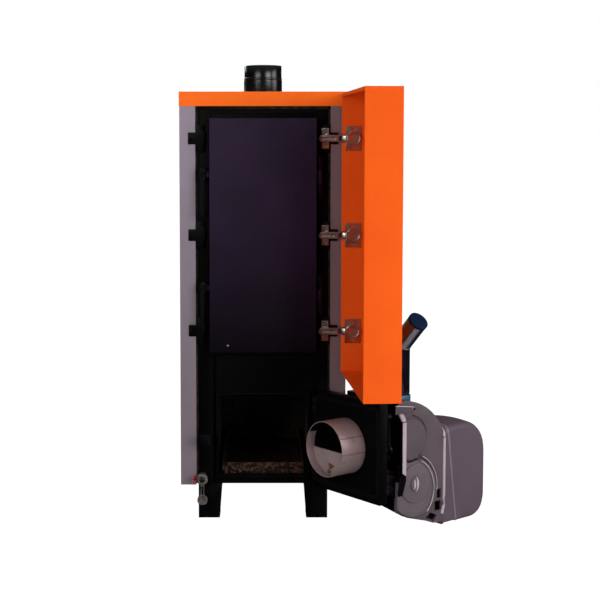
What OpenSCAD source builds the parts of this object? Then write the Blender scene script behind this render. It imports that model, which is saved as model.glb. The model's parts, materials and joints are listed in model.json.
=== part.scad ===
// Pellet boiler with a swing-out burner, a cleaning door and an outer casing door.
// +X is to the right, +Y goes back into the boiler and +Z is up.
// The origin is on the floor, midway between the four bolt holes of the feet.
// The model stands as it does for cleaning: outer door and burner door swung open.

/* [Casing] */
// Width across the two side panels
casing_w = 440; // [420:1:500]
// Depth from the front edge of the panels to the back panel
casing_d = 560; // [500:1:660]
// Height of the lid over the floor
casing_h = 1140; // [1120:1:1200]
// How far the panels reach down past the vessel
panel_lap = 2; // [1:1:14]
// Thickness of the painted casing sheet
sheet_t = 1.5; // [1:0.1:2]
// Width of the side panels' front returns
return_w = 42; // [36:1:46]
// Width of the side panels' rear returns
rear_return_w = 20; // [10:1:30]
// Height of the lid's skirt
lid_h = 38; // [30:1:44]
// How far the lid stands out past the panels
lid_overhang = 1; // [0:0.1:1.4]
// Space for insulation between vessel and casing side
side_gap = 47; // [44:1:52]
// Space for insulation behind the vessel, with the back panel
rear_gap = 40; // [30:1:60]
// How far the vessel's front plate lies behind the panels' front edge
front_recess = 8; // [7:0.5:10]

/* [Feet] */
// Height of the vessel over the floor
leg_h = 94; // [80:1:120]
// Width of a leg at its top
leg_top_w = 64; // [60:1:70]
// Width of a leg at the floor
leg_foot_w = 57; // [52:1:60]
// Depth of a leg from front to back
leg_d = 70; // [50:1:90]
// Thickness of the leg sheet
leg_t = 3; // [2:0.5:4]
// Radius of the floor bolt hole in each foot
foot_hole_r = 5.5; // [4:0.5:7]

/* [Vessel] */
// Space over the welded vessel up to the lid's top
top_gap = 45; // [40:1:60]
// Thickness of the front plate
front_plate_t = 8; // [6:1:10]
// Thickness of the water jackets
jacket_t = 32; // [26:1:34]
// Width of the raised uprights beside the doors
upright_w = 33; // [30:1:36]
// How far the uprights stay inside the vessel's edge
upright_inset = 7; // [5:1:9]
// How far the uprights stand out from the front plate
upright_t = 3; // [2:0.5:4]
// Height of the furnace mouth's lower edge over the vessel's bottom
sill_h = 24; // [22:1:30]
// Height of the furnace mouth
mouth_h = 218; // [210:1:222]
// Height of the plate between the furnace mouth and the exchanger opening
wall_h = 144; // [130:1:160]
// Height of the plate over the exchanger opening
brow_h = 50; // [46:1:70]
// Thickness of the collars round both openings
collar_t = 6; // [4:1:8]
// How far the collars stand out in front of the panels
collar_out = 4; // [3:0.5:5]
// Thickness of the flue shelves
shelf_t = 26; // [20:1:30]
// Thickness of the furnace lining bricks
brick_t = 18; // [14:1:22]

/* [Flue and water] */
// Outer radius of the flue spigot
flue_r = 54; // [50:0.5:57]
// Wall of the flue spigot
flue_wall = 2; // [1.5:0.5:3]
// Height of the flue spigot's end over the lid
flue_out = 90; // [80:1:150]
// Height of the thicker lower sleeve's end over the lid
sleeve_out = 48; // [20:1:60]
// Distance of the flue axis behind the casing's front
flue_back = 400; // [370:1:410]
// Outer radius of the water stubs, 1 inch pipe thread
stub_r = 16.6; // [16:0.1:17.5]
// Inner radius of the water stubs
stub_bore_r = 13.6; // [12:0.1:14]
// How far the water stubs stand out behind the back panel
stub_out = 45; // [30:1:60]
// Distance of the flow stub below the vessel's top
flow_drop = 85; // [60:1:110]
// Height of the return stub over the vessel's bottom
return_rise = 96; // [70:1:120]

/* [Drain valve] */
// Distance of the drain valve left of the middle
drain_x = 162; // [158:1:163]
// Height of the drain valve over the vessel's bottom
drain_rise = 18; // [17:1:24]
// Outer radius of the drain valve's outlet
drain_r = 13.5; // [11:0.5:14]
// Inner radius of the drain valve's outlet
drain_bore_r = 8; // [6:0.5:9]

/* [Outer door] */
// How far the outer door reaches down past the exchanger opening
door_lap = 81; // [70:1:84]
// Gap between the door's top and the lid's top
door_drop = 5; // [2:1:10]
// Depth of the outer door pan
door_depth = 90; // [80:1:100]
// Width of the lips on the door's top and free side
door_lip = 9; // [6:1:12]
// Gap between the closed door's rim and the panels
door_gap = 3.2; // [3.2:0.1:4]
// Angle at which the door stands open
door_open = 93.5; // [80:0.5:100]
// Distance of the hinge pin from the door's side
door_pin_in = 5.5; // [5:0.1:6]
// Distance of the hinge pin in front of the panels
door_pin_out = 11; // [11:0.1:12]
// Distance of the highest hinge below the door's top
hinge_down = 117.5; // [100:0.5:130]
// Distance of the lowest hinge over the door's lower edge
hinge_up = 109.5; // [100:0.5:130]
// Width of a hinge arm
arm_w = 17.7; // [16:0.1:20]
// Radius of a hinge cup
cup_r = 17.5; // [16:0.5:18]

/* [Cleaning door] */
// How far the cleaning door laps over its opening above and below
inner_rise = 25; // [20:1:27]
// Thickness of the cleaning door
inner_t = 34; // [30:1:36]
// How far the door laps over the channel's edge
inner_lap = 7; // [5:1:7]
// Sheet of the cleaning door
inner_sheet = 2; // [1.5:0.5:3]
// Radius of the cleaning door's hinge barrels
barrel_r = 6; // [5:0.5:6.5]
// Length of a hinge barrel
barrel_l = 107; // [90:1:114]
// Length of a latch handle from its pivot
latch_l = 108; // [90:1:120]

/* [Burner door] */
// How far the burner door laps over the mouth below
burner_low_lap = 21; // [18:1:22]
// How far the burner door laps over the mouth above
burner_high_lap = 19; // [17:1:22]
// Thickness of the burner door pan
burner_t = 27; // [24:1:30]
// Sheet of the burner door pan
burner_sheet = 3; // [2:0.5:4]
// Angle at which the burner door stands open
burner_open = 127.5; // [110:0.5:130]
// Height of the burner tube's axis over the mouth's lower edge
tube_rise = 110; // [106:1:114]
// Outer radius of the burner tube
tube_r = 71.5; // [66:0.5:74]
// Wall of the burner tube
tube_wall = 2.5; // [2:0.5:4]
// How far the burner tube reaches past the door's inner face
tube_l = 72; // [60:1:80]

/* [Burner] */
// Reach of the burner casting from the tube's axis to its free side
cast_reach = 119; // [116:1:122]
// Reach of the burner casting from the tube's axis to its hinge side
cast_hinge_reach = 79; // [76:1:80]
// Wall of the burner casting
cast_wall = 6; // [4:1:7]
// Wall of the burner hood
hood_wall = 3; // [2:0.5:4]
// Distance of the casting's front from the door hinge
cast_start = 66; // [60:1:72]
// Distance of the hood's rim from the door hinge
hood_start = 226; // [222:1:232]
// Distance of the hood's end from the door hinge
hood_end = 391; // [380:1:395]
// Radius of the hood's rounded upper corner
hood_top_r = 81; // [60:1:90]
// Radius of the hood's rounded lower corner
hood_low_r = 50; // [40:1:75]
// Outer radius of the fan's round cover
fan_r = 90; // [86:1:92]
// Radius of the fan wheel
wheel_r = 60; // [52:1:61]
// Outer radius of the feed pipe
pipe_r = 24; // [20:0.5:25]
// Wall of the feed pipe
pipe_wall = 2; // [1.5:0.5:3]
// Lean of the feed pipe's upper arm
pipe_lean = 36; // [30:1:42]

/* [Hidden] */
$fn = 48;

// Gap left between pieces that move past each other
gap = 0.3;
// Radial play of a pin in its bore
play = 0.05;
// How far a cut runs past the face it opens
over = 1;

// Casing
half_w = casing_w / 2;
front_y = -(casing_d - front_recess - rear_gap) / 2 - front_recess;
back_y = front_y + casing_d;
panel_top = casing_h - lid_h;
panel_bottom = leg_h - panel_lap;

// Vessel
vessel_half = half_w - side_gap;
plate_y = front_y + front_recess;
plate_back = plate_y + front_plate_t;
vessel_back = back_y - rear_gap;
vessel_top_z = casing_h - top_gap;
channel_half = vessel_half - upright_inset - upright_w;
upright_y = plate_y - upright_t;
upright_edge = vessel_half - upright_inset;
collar_y = front_y - collar_out;
bay_half = vessel_half - jacket_t;
collar_margin = 9;
mouth_half = channel_half - collar_margin - collar_t;
mouth_bottom = leg_h + sill_h;
mouth_top = mouth_bottom + mouth_h;
exchanger_bottom = mouth_top + wall_h;
exchanger_top = vessel_top_z - brow_h;
bay_back = vessel_back - jacket_t;
ceiling_up = 52;
ceiling_low = mouth_top + ceiling_up;
ceiling_t = 40;
shelf_count = 3;
shelf_gap = 70;

// Flue
flue_y = front_y + flue_back;
flue_bore_r = flue_r - flue_wall;
flue_top = casing_h + flue_out;
flue_sleeve_top = casing_h + sleeve_out;
flow_z = vessel_top_z - flow_drop;
return_z = leg_h + return_rise;
sleeve_t = 1.5;
flue_base_w = 14;
flue_base_r = flue_r + flue_base_w;
flue_base_t = 3;

// Outer door in its own frame: +X from pin to free side, +Y out through its face
door_pin = [half_w - door_pin_in, front_y - door_pin_out];
door_rim = door_gap - door_pin_out;
door_face = door_rim + door_depth;
door_far = casing_w - door_pin_in;
door_top = casing_h - door_drop;
door_bottom = exchanger_bottom - door_lap;
hinge_low_z = door_bottom + hinge_up;
hinge_high_z = door_top - hinge_down;
hinge_pitch = (hinge_high_z - hinge_low_z) / 2;
hinge_zs = [for (i = [0:2]) hinge_low_z + i * hinge_pitch];

// Outer door hinges
bracket_t = 3;
bracket_bar_h = 31;
bracket_bar_w = 45;
bracket_post_w = 21;
bracket_post_h = 72;
bracket_lap = 14;
bracket_post_in = 4;
bracket_in = upright_edge - bracket_lap;
hinge_plate_t = 2;
hinge_plate_in = 2;
hinge_wing_w = 19;
hinge_wing_h = 54;
screw_pitch = 16;
screw_r = 2.5;
arm_back = 6;
arm_back_x = bracket_in - arm_back;
arm_fork = 6;
arm_screw_xs = [8, 23, 38];
arm_screw_d = 5;
arm_step = 9;
arm_y = front_y - bracket_t - hinge_plate_t;
link_swing_r = 6;
link_lean = 138.2;
link_pin_r = 1.2;
link_w = 13;
link_eye_r = 2.2;
link_t = 3.6;
ear_r = 2.5;
link_start = door_pin + link_swing_r * [cos(link_lean), sin(link_lean)];
link_end_turn = link_lean - 180 - door_open / 2 + door_open;
link_end = door_pin + link_swing_r * [cos(link_end_turn), sin(link_end_turn)];
link_run = norm(link_end - link_start);
link_turn = atan2(link_end.y - link_start.y, link_end.x - link_start.x);
link_free = 3.1;
cup_back = 31;
cup_depth = 9;
cup_wall = 1.5;
cup_flange_t = 2;
cup_flange_w = 42;
cup_flange_h = 64;
cup_screw_pitch = 24;
notch_room = 3;
notch_h = arm_w + notch_room;
notch_d = 11.5;
cup_notch_h = link_w + notch_room;
cup_notch_d = 4;

// Cleaning door in its own frame: +X from pin to free side, +Y out through its face
inner_pin_out = 15.4;
inner_pin_x = channel_half + inner_pin_out;
seal_w = 12;
seal_out = 2;
inner_pin_y = collar_y - inner_t / 2 - seal_out;
inner_near = inner_pin_x - channel_half - inner_lap;
inner_far = inner_pin_x + channel_half + inner_lap;
inner_back = -inner_t / 2;
inner_face = inner_t / 2;
inner_bottom = exchanger_bottom - inner_rise;
inner_top = exchanger_top + inner_rise;
inner_rim = 6;
barrel_up = 96;
barrel_down = 99;
barrel_low_z = inner_bottom + barrel_up;
barrel_high_z = inner_top - barrel_down - barrel_l;
barrel_pin_r = 3.5;
barrel_leaf_t = 4;
latch_in = 6;
latch_low_share = 0.458;
latch_high_share = 1.6325;
latch_x = latch_in - upright_edge;
latch_high_z = hinge_low_z + latch_high_share * hinge_pitch;
latch_low_z = hinge_low_z + latch_low_share * hinge_pitch;
latch_pin_r = 4;
latch_t = 8;
tab_out = 9;
tab_h = 16;
tab_t = 4;
tab_drop = 12;

// Burner door in its own frame: +X from pin to free side, +Y out through its face
burner_pin_out = 3;
burner_pin_front = 10;
burner_pin_x = channel_half + burner_pin_out;
burner_pin_y = collar_y - burner_pin_front;
burner_pin_r = 4;
burner_barrel_r = 7;
burner_edge = 6;
burner_far = 2 * burner_pin_x - burner_edge;
burner_bottom = mouth_bottom - burner_low_lap;
burner_top = mouth_top + burner_high_lap;
tube_z = mouth_bottom + tube_rise;
burner_back = -8;
burner_face = burner_back + burner_t;
burner_rim = 4;
tube_x = burner_pin_x;
tube_start = burner_back - tube_l;
cast_near = tube_x - cast_hinge_reach;
cast_far = tube_x + cast_reach;

module block(low, high) {
    translate(low) cube(high - low);
}

// A rod from one end, along X, Y or Z
module rod_x(r, l) rotate([0, 90, 0]) cylinder(r = r, h = l);
module rod_y(r, l) rotate([-90, 0, 0]) cylinder(r = r, h = l);

// A plate in the XZ plane, from its drawn outline, between two depths
module upright_plate(y0, y1) {
    translate([0, y1, 0]) rotate([90, 0, 0]) linear_extrude(y1 - y0) children();
}

// Both sides of the boiler
module both_sides() {
    children();
    mirror([1, 0, 0]) children();
}

// The frames of the three doors, each at its pin
module outer_door_frame() {
    translate([door_pin.x, door_pin.y, 0]) rotate([0, 0, 180 + door_open]) children();
}

module cleaning_door_frame() {
    translate([inner_pin_x, inner_pin_y, 0]) rotate([0, 0, 180]) children();
}

module burner_frame() {
    translate([burner_pin_x, burner_pin_y, 0]) rotate([0, 0, 180 + burner_open]) children();
}

// Feet

foot_hole_x = vessel_half - leg_foot_w / 2;
foot_hole_y = vessel_back - leg_d / 2;

module leg() {
    color([0.06, 0.055, 0.065]) {
        difference() {
            translate([vessel_half - leg_foot_w, vessel_back - leg_d, 0]) cube([leg_foot_w, leg_d, leg_t]);
            translate([foot_hole_x, foot_hole_y, -over]) cylinder(r = foot_hole_r, h = leg_t + 2 * over);
        }
        upright_plate(vessel_back - leg_t, vessel_back) polygon([
            [vessel_half, 0], [vessel_half, leg_h],
            [vessel_half - leg_top_w, leg_h], [vessel_half - leg_foot_w, 0]]);
        translate([vessel_half - leg_t, vessel_back - leg_d, 0]) cube([leg_t, leg_d, leg_h]);
        translate([vessel_half - leg_top_w, vessel_back - leg_d, leg_h - leg_t])
            cube([leg_top_w, leg_d, leg_t]);
    }
}

module legs() {
    both_sides() {
        leg();
        mirror([0, 1, 0]) leg();
    }
}

// Vessel

module opening_cut(half, low, high) {
    block([-half, plate_y - over, low], [half, plate_back + over, high]);
}

header_up = 12;
header_h = 11;
header_z = inner_top + header_up;

module vessel_front() {
    color([0.05, 0.045, 0.06]) {
        difference() {
            block([-vessel_half, plate_y, leg_h], [vessel_half, plate_back, vessel_top_z]);
            opening_cut(mouth_half, mouth_bottom, mouth_top);
            opening_cut(mouth_half, exchanger_bottom, exchanger_top);
        }
        both_sides() block([channel_half, upright_y, leg_h], [upright_edge, plate_y, vessel_top_z - over]);
        block([-channel_half, upright_y, header_z], [channel_half, plate_y, header_z + header_h]);
    }
}

module vessel_jacket_right() {
    color([0.07, 0.065, 0.075])
        block([bay_half, plate_back, leg_h], [vessel_half, bay_back, vessel_top_z]);
}

module vessel_jacket_left() {
    mirror([1, 0, 0]) vessel_jacket_right();
}

module vessel_jacket_rear() {
    color([0.07, 0.065, 0.075])
        block([-vessel_half, bay_back, leg_h], [vessel_half, vessel_back, vessel_top_z]);
}

floor_top = mouth_bottom;

module vessel_floor() {
    color([0.07, 0.065, 0.075])
        block([-bay_half, plate_back, leg_h], [bay_half, bay_back, floor_top]);
}

module vessel_top() {
    color([0.07, 0.065, 0.075]) difference() {
        block([-bay_half, plate_back, vessel_top_z - jacket_t], [bay_half, bay_back, vessel_top_z]);
        translate([0, flue_y, vessel_top_z - jacket_t - over])
            cylinder(r = flue_bore_r - sleeve_t, h = jacket_t + 2 * over);
    }
}

// The furnace ceiling leaves a slot at the back, where the flue gas rises
module furnace_ceiling() {
    color([0.08, 0.07, 0.075])
        block([-bay_half, plate_back, ceiling_low],
            [bay_half, bay_back - shelf_gap, ceiling_low + ceiling_t]);
}

// Water-cooled shelves turn the flue gas to and fro on its way up
shelf_bay = vessel_top_z - jacket_t - ceiling_low - ceiling_t;

module flue_shelves() {
    color([0.08, 0.07, 0.075]) for (i = [0:shelf_count - 1]) {
        z = ceiling_low + ceiling_t + (i + 1) * shelf_bay / (shelf_count + 1) - shelf_t / 2;
        at_front = i % 2 == 0;
        y0 = at_front ? plate_back + shelf_gap : plate_back;
        y1 = at_front ? bay_back : bay_back - shelf_gap;
        block([-bay_half, y0, z], [bay_half, y1, z + shelf_t]);
    }
}

module collar(half, low, high) {
    upright_plate(collar_y, plate_y) difference() {
        translate([-half - collar_t, low - collar_t])
            square([2 * (half + collar_t), high - low + 2 * collar_t]);
        translate([-half, low]) square([2 * half, high - low]);
    }
}

module exchanger_collar() {
    color([0.1, 0.09, 0.11]) collar(mouth_half, exchanger_bottom, exchanger_top);
}

module furnace_collar() {
    color([0.1, 0.09, 0.11]) collar(mouth_half, mouth_bottom, mouth_top);
}

// Bricks line both furnace sides and its back, on top of the floor
brick_drop = 40;
brick_high = ceiling_low - brick_drop;

module furnace_lining() {
    color([0.45, 0.4, 0.34]) {
        both_sides() block([bay_half - brick_t, plate_back + over, floor_top],
            [bay_half, bay_back - brick_t, brick_high]);
        block([-bay_half, bay_back - brick_t, floor_top], [bay_half, bay_back, brick_high]);
    }
}

// Casing

module insulation() {
    color([0.62, 0.6, 0.5]) {
        both_sides() block([vessel_half, plate_y, leg_h], [half_w - sheet_t, vessel_back, vessel_top_z]);
        difference() {
            block([-half_w + sheet_t, vessel_back, leg_h],
                [half_w - sheet_t, back_y - sheet_t, vessel_top_z]);
            for (z = [flow_z, return_z]) translate([0, vessel_back - over, z])
                rod_y(stub_shoulder_r + gap, rear_gap + over);
            translate([pocket_x, vessel_back - over, pocket_z]) rod_y(pocket_r + gap, rear_gap + over);
        }
        difference() {
            block([-vessel_half, plate_y, vessel_top_z], [vessel_half, vessel_back, casing_h - sheet_t]);
            translate([0, flue_y, vessel_top_z - over])
                cylinder(r = flue_base_r + gap, h = casing_h - vessel_top_z + 2 * over);
        }
    }
}

module side_panel_right() {
    color([0.42, 0.39, 0.41]) difference() {
        block([half_w - return_w, front_y, panel_bottom], [half_w, back_y, panel_top]);
        block([half_w - return_w - over, front_y + sheet_t, panel_bottom - over],
            [half_w - sheet_t, back_y - sheet_t, panel_top + over]);
        block([half_w - return_w - over, back_y - sheet_t - over, panel_bottom - over],
            [half_w - rear_return_w, back_y + over, panel_top + over]);
    }
}

module side_panel_left() {
    mirror([1, 0, 0]) side_panel_right();
}

// Room round the pipes where they pass the casing
pipe_room = 2;

module back_panel() {
    color([0.42, 0.39, 0.41]) difference() {
        block([-half_w + rear_return_w, back_y - sheet_t, panel_bottom],
            [half_w - rear_return_w, back_y, panel_top]);
        for (z = [flow_z, return_z]) translate([0, back_y - sheet_t - over, z])
            rod_y(stub_r + pipe_room, sheet_t + 2 * over);
        translate([pocket_x, back_y - sheet_t - over, pocket_z])
            rod_y(pocket_r + pipe_room, sheet_t + 2 * over);
    }
}

lid_half = half_w + lid_overhang;

module top_cover() {
    color([0.93, 0.38, 0.13]) difference() {
        block([-lid_half, front_y - lid_overhang, panel_top], [lid_half, back_y + lid_overhang, casing_h]);
        block([-lid_half + sheet_t, front_y - lid_overhang + sheet_t, panel_top - over],
            [lid_half - sheet_t, back_y + lid_overhang - sheet_t, casing_h - sheet_t]);
        translate([0, flue_y, casing_h - sheet_t - over])
            cylinder(r = flue_r + sleeve_t + pipe_room, h = sheet_t + 2 * over);
    }
}

module flue_spigot() {
    color([0.09, 0.08, 0.09]) translate([0, flue_y, 0]) difference() {
        union() {
            translate([0, 0, vessel_top_z]) cylinder(r = flue_base_r, h = flue_base_t);
            translate([0, 0, vessel_top_z])
                cylinder(r = flue_r + sleeve_t, h = flue_sleeve_top - vessel_top_z);
            translate([0, 0, vessel_top_z]) cylinder(r = flue_r, h = flue_top - vessel_top_z);
        }
        translate([0, 0, vessel_top_z - over])
            cylinder(r = flue_bore_r, h = flue_top - vessel_top_z + 2 * over);
    }
}

// Water side

stub_shoulder = 4;
stub_shoulder_r = stub_r + stub_shoulder;
stub_l = rear_gap + stub_out;
pocket_x = 60;
pocket_z = flow_z;
pocket_r = 8;
pocket_bore_r = 4;
pocket_out = 12;

module water_stub(z) {
    color([0.55, 0.54, 0.52]) translate([0, vessel_back, z]) difference() {
        union() {
            rod_y(stub_r, stub_l);
            rod_y(stub_shoulder_r, rear_gap / 2);
        }
        translate([0, rear_gap / 2, 0]) rod_y(stub_bore_r, stub_l);
    }
}

module flow_stub() water_stub(flow_z);

module return_stub() water_stub(return_z);

module sensor_pocket() {
    color([0.7, 0.58, 0.32]) translate([pocket_x, vessel_back, pocket_z]) difference() {
        rod_y(pocket_r, rear_gap + pocket_out);
        translate([0, rear_gap / 2, 0]) rod_y(pocket_bore_r, rear_gap + pocket_out);
    }
}

// Drain valve on the left upright, with a quarter-turn handle and a hanging cap
drain_pos_x = -drain_x;
drain_z = leg_h + drain_rise;
drain_rim = 1.5;
drain_body_r = drain_r + drain_rim;
drain_body_l = 16;
drain_nose = 8;
drain_out = 36;
drain_stem_r = 3;
drain_stem_l = 9;
drain_stem_out = 16;
drain_stem_y = upright_y - drain_stem_out;
handle_l = 32;
handle_w = 10;
handle_t = 3;
handle_hub_r = 6;
handle_hub_l = 7;
cap_ear_r = 3;
cap_ear_t = 2;
cap_ear_pitch = 7.2;
cap_pin_r = 1.5;
cap_pin_l = 10;
cap_lug_t = 4;
cap_room = 2;
cap_pin_z = drain_z - drain_body_r - cap_ear_r - cap_room;
cap_drop = 38;
cap_l = 12;
cap_wall = 2.5;
cap_web_t = 4;

module drain_valve() {
    color([0.3, 0.28, 0.28]) difference() {
        union() {
            translate([drain_pos_x, upright_y - drain_out, drain_z]) rod_y(drain_r, drain_out);
            translate([drain_pos_x, upright_y - drain_out + drain_nose, drain_z])
                rod_y(drain_body_r, drain_body_l);
            translate([drain_pos_x - drain_body_r - drain_stem_l, drain_stem_y, drain_z])
                rod_x(drain_stem_r, drain_body_r + drain_stem_l);
            block([drain_pos_x - cap_lug_t / 2, drain_stem_y - cap_ear_r, cap_pin_z - cap_ear_r],
                [drain_pos_x + cap_lug_t / 2, drain_stem_y + cap_ear_r, drain_z - drain_bore_r - over]);
            translate([drain_pos_x - cap_pin_l / 2, drain_stem_y, cap_pin_z]) rod_x(cap_pin_r, cap_pin_l);
        }
        translate([drain_pos_x, upright_y - drain_out - over, drain_z])
            rod_y(drain_bore_r, drain_out - drain_nose);
    }
}

module drain_handle() {
    handle_x = drain_pos_x - drain_body_r - drain_stem_l;
    color([0.75, 0.12, 0.1]) difference() {
        union() {
            translate([handle_x, drain_stem_y, drain_z]) rod_x(handle_hub_r, handle_hub_l);
            translate([handle_x, drain_stem_y - handle_l, drain_z - handle_w / 2])
                cube([handle_t, handle_l, handle_w]);
        }
        translate([handle_x - over, drain_stem_y, drain_z])
            rod_x(drain_stem_r + play, drain_stem_l + 2 * over);
    }
}

module drain_cap() {
    color([0.35, 0.33, 0.33]) translate([drain_pos_x, drain_stem_y, cap_pin_z]) {
        for (side = [-1, 1]) translate([side * cap_ear_pitch / 2 - cap_ear_t / 2, 0, 0]) difference() {
            union() {
                rod_x(cap_ear_r, cap_ear_t);
                block([0, -cap_web_t / 2, drain_r - cap_drop - over], [cap_ear_t, cap_web_t / 2, 0]);
            }
            translate([-over, 0, 0]) rod_x(cap_pin_r + play, cap_ear_t + 2 * over);
        }
        translate([0, -cap_l / 2, -cap_drop]) difference() {
            rod_y(drain_r, cap_l);
            translate([0, -over, 0]) rod_y(drain_r - cap_wall, cap_l - cap_wall + over);
        }
    }
}

// Outer door hinges: bracket, mounting plate, arm, link and cup

module bracket_cross(z) {
    block([bracket_in, front_y - bracket_t, z - bracket_bar_h / 2],
        [bracket_in + bracket_bar_w, front_y, z + bracket_bar_h / 2]);
    post_x = bracket_in + bracket_post_in;
    block([post_x, front_y - bracket_t, z - bracket_post_h / 2],
        [post_x + bracket_post_w, front_y, z + bracket_post_h / 2]);
    block([post_x, front_y, z - bracket_post_h / 2], [upright_edge, upright_y, z + bracket_post_h / 2]);
}

module hinge_brackets() {
    color([0.07, 0.06, 0.07]) both_sides() for (z = hinge_zs) bracket_cross(z);
}

module hinge_plates() {
    wing_x = bracket_in + hinge_plate_in;
    color([0.72, 0.7, 0.68]) for (z = hinge_zs) difference() {
        union() {
            block([wing_x, arm_y, z - hinge_wing_h / 2],
                [wing_x + hinge_wing_w, front_y - bracket_t, z + hinge_wing_h / 2]);
            block([bracket_in, arm_y, z - arm_w / 2],
                [bracket_in + bracket_bar_w, front_y - bracket_t, z + arm_w / 2]);
        }
        for (side = [-1, 1]) translate([wing_x + hinge_wing_w / 2, arm_y - over, z + side * screw_pitch])
            rod_y(screw_r, hinge_plate_t + 2 * over);
    }
}

arm_end_x = door_pin.x - door_pin_in - arm_step / 2;

module hinge_arm(z) {
    difference() {
        union() {
            block([arm_back_x + arm_w / 2, arm_y - arm_step, z - arm_w / 2],
                [arm_end_x, arm_y, z + arm_w / 2]);
            translate([arm_back_x + arm_w / 2, arm_y - arm_step, z]) rod_y(arm_w / 2, arm_step);
            translate([link_start.x, link_start.y, z - arm_w / 2]) cylinder(r = ear_r, h = arm_w);
            block([arm_end_x - over, link_start.y - ear_r, z - arm_w / 2],
                [link_start.x, link_start.y + ear_r, z + arm_w / 2]);
        }
        block([arm_end_x - arm_fork, arm_y - arm_step - over, z - link_w / 2 - gap],
            [half_w, front_y, z + link_w / 2 + gap]);
        for (x = arm_screw_xs) translate([arm_back_x + x, arm_y - arm_step - over, z])
            rod_y(screw_r, arm_screw_d);
    }
    translate([link_start.x, link_start.y, z - arm_w / 2]) cylinder(r = link_pin_r, h = arm_w);
}

module hinge_arms() {
    color([0.75, 0.73, 0.7]) for (z = hinge_zs) hinge_arm(z);
}

// The link's far end stops just short of the cup's pin
module hinge_links() {
    color([0.68, 0.66, 0.64]) for (z = hinge_zs)
        translate([link_start.x, link_start.y, z - link_w / 2]) rotate([0, 0, link_turn]) difference() {
            union() {
                cylinder(r = link_eye_r, h = link_w);
                translate([0, -link_t / 2, 0]) cube([link_run - link_free, link_t, link_w]);
            }
            translate([0, 0, -over]) cylinder(r = link_pin_r + play, h = link_w + 2 * over);
        }
}

// The cup lies on the inside of the pan's hinge side, and opens towards the free side
cup_y = door_rim + cup_back;
cup_wall_x = sheet_t - door_pin_in;
link_pin_turn = link_lean - 180 - door_open / 2;
cup_pin = -link_swing_r * [cos(link_pin_turn), sin(link_pin_turn)];

module hinge_cup(z) {
    difference() {
        union() {
            block([cup_wall_x, cup_y - cup_flange_w / 2, z - cup_flange_h / 2],
                [cup_wall_x + cup_flange_t, cup_y + cup_flange_w / 2, z + cup_flange_h / 2]);
            translate([cup_wall_x, cup_y, z]) rod_x(cup_r, cup_flange_t + cup_depth);
        }
        translate([cup_wall_x + cup_flange_t, cup_y, z]) rod_x(cup_r - cup_wall, cup_depth + over);
        block([cup_wall_x - over, cup_y - cup_flange_w / 2 - over, z - cup_notch_h / 2],
            [cup_wall_x + cup_flange_t + cup_depth + over, cup_y - cup_r + cup_notch_d, z + cup_notch_h / 2]);
        for (side = [-1, 1]) translate([cup_wall_x - over, cup_y, z + side * cup_screw_pitch])
            rod_x(screw_r, cup_flange_t + 2 * over);
    }
}

module hinge_cups() {
    color([0.74, 0.72, 0.7]) outer_door_frame() for (z = hinge_zs) {
        hinge_cup(z);
        translate([cup_pin.x, cup_pin.y, z - cup_notch_h / 2 - over])
            cylinder(r = link_pin_r, h = cup_notch_h + 2 * over);
    }
}

module outer_door_shell() {
    color([0.95, 0.4, 0.13]) outer_door_frame() {
        difference() {
            block([-door_pin_in, door_rim, door_bottom], [door_far, door_face, door_top]);
            block([-door_pin_in + sheet_t, door_rim - over, door_bottom + sheet_t],
                [door_far - sheet_t, door_face - sheet_t, door_top - sheet_t]);
            for (z = hinge_zs) block([-door_pin_in - over, door_rim - over, z - notch_h / 2],
                [-door_pin_in + sheet_t + over, door_rim + notch_d, z + notch_h / 2]);
        }
        block([-door_pin_in + sheet_t, door_rim, door_top - door_lip],
            [door_far - sheet_t, door_rim + sheet_t, door_top - sheet_t]);
        block([door_far - door_lip, door_rim, door_bottom + sheet_t],
            [door_far - sheet_t, door_rim + sheet_t, door_top - door_lip]);
    }
}

// Cleaning door

module cleaning_door_panel() {
    color([0.17, 0.14, 0.2]) cleaning_door_frame() difference() {
        block([inner_near, inner_back + inner_rim, inner_bottom], [inner_far, inner_face, inner_top]);
        block([inner_near + inner_sheet, inner_back, inner_bottom + inner_sheet],
            [inner_far - inner_sheet, inner_face - inner_sheet, inner_top - inner_sheet]);
    }
}

module cleaning_door_insulation() {
    color([0.75, 0.72, 0.66]) cleaning_door_frame()
        block([inner_near + inner_sheet, inner_back + inner_rim, inner_bottom + inner_sheet],
            [inner_far - inner_sheet, inner_face - inner_sheet, inner_top - inner_sheet]);
}

// A flat frame of rope, from its two depths, its door's pin and its opening's height
module seal_frame(y0, y1, pin_x, low, high) {
    reach = mouth_half + (collar_t + seal_w) / 2;
    rise = (collar_t + seal_w) / 2;
    difference() {
        block([pin_x - reach, y0, low - rise], [pin_x + reach, y1, high + rise]);
        block([pin_x - reach + seal_w, y0 - over, low - rise + seal_w],
            [pin_x + reach - seal_w, y1 + over, high + rise - seal_w]);
    }
}

// The rope seal meets the collar all round, pressed flat against it
module cleaning_door_seal() {
    color([0.3, 0.28, 0.27]) cleaning_door_frame() seal_frame(
        inner_back - seal_out + gap, inner_back + inner_rim, inner_pin_x, exchanger_bottom, exchanger_top);
}

// Each hinge has a fixed knuckle above and below the door's own
knuckle_l = barrel_l / 3;
barrel_zs = [barrel_low_z, barrel_high_z];

module cleaning_door_posts() {
    color([0.1, 0.09, 0.11]) for (z = barrel_zs) {
        for (z1 = [z, z + 2 * knuckle_l]) {
            translate([inner_pin_x, inner_pin_y, z1]) cylinder(r = barrel_r, h = knuckle_l);
            block([inner_pin_x, inner_pin_y, z1], [inner_pin_x + barrel_r, upright_y, z1 + knuckle_l]);
        }
        translate([inner_pin_x, inner_pin_y, z]) cylinder(r = barrel_pin_r, h = barrel_l);
    }
}

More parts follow.
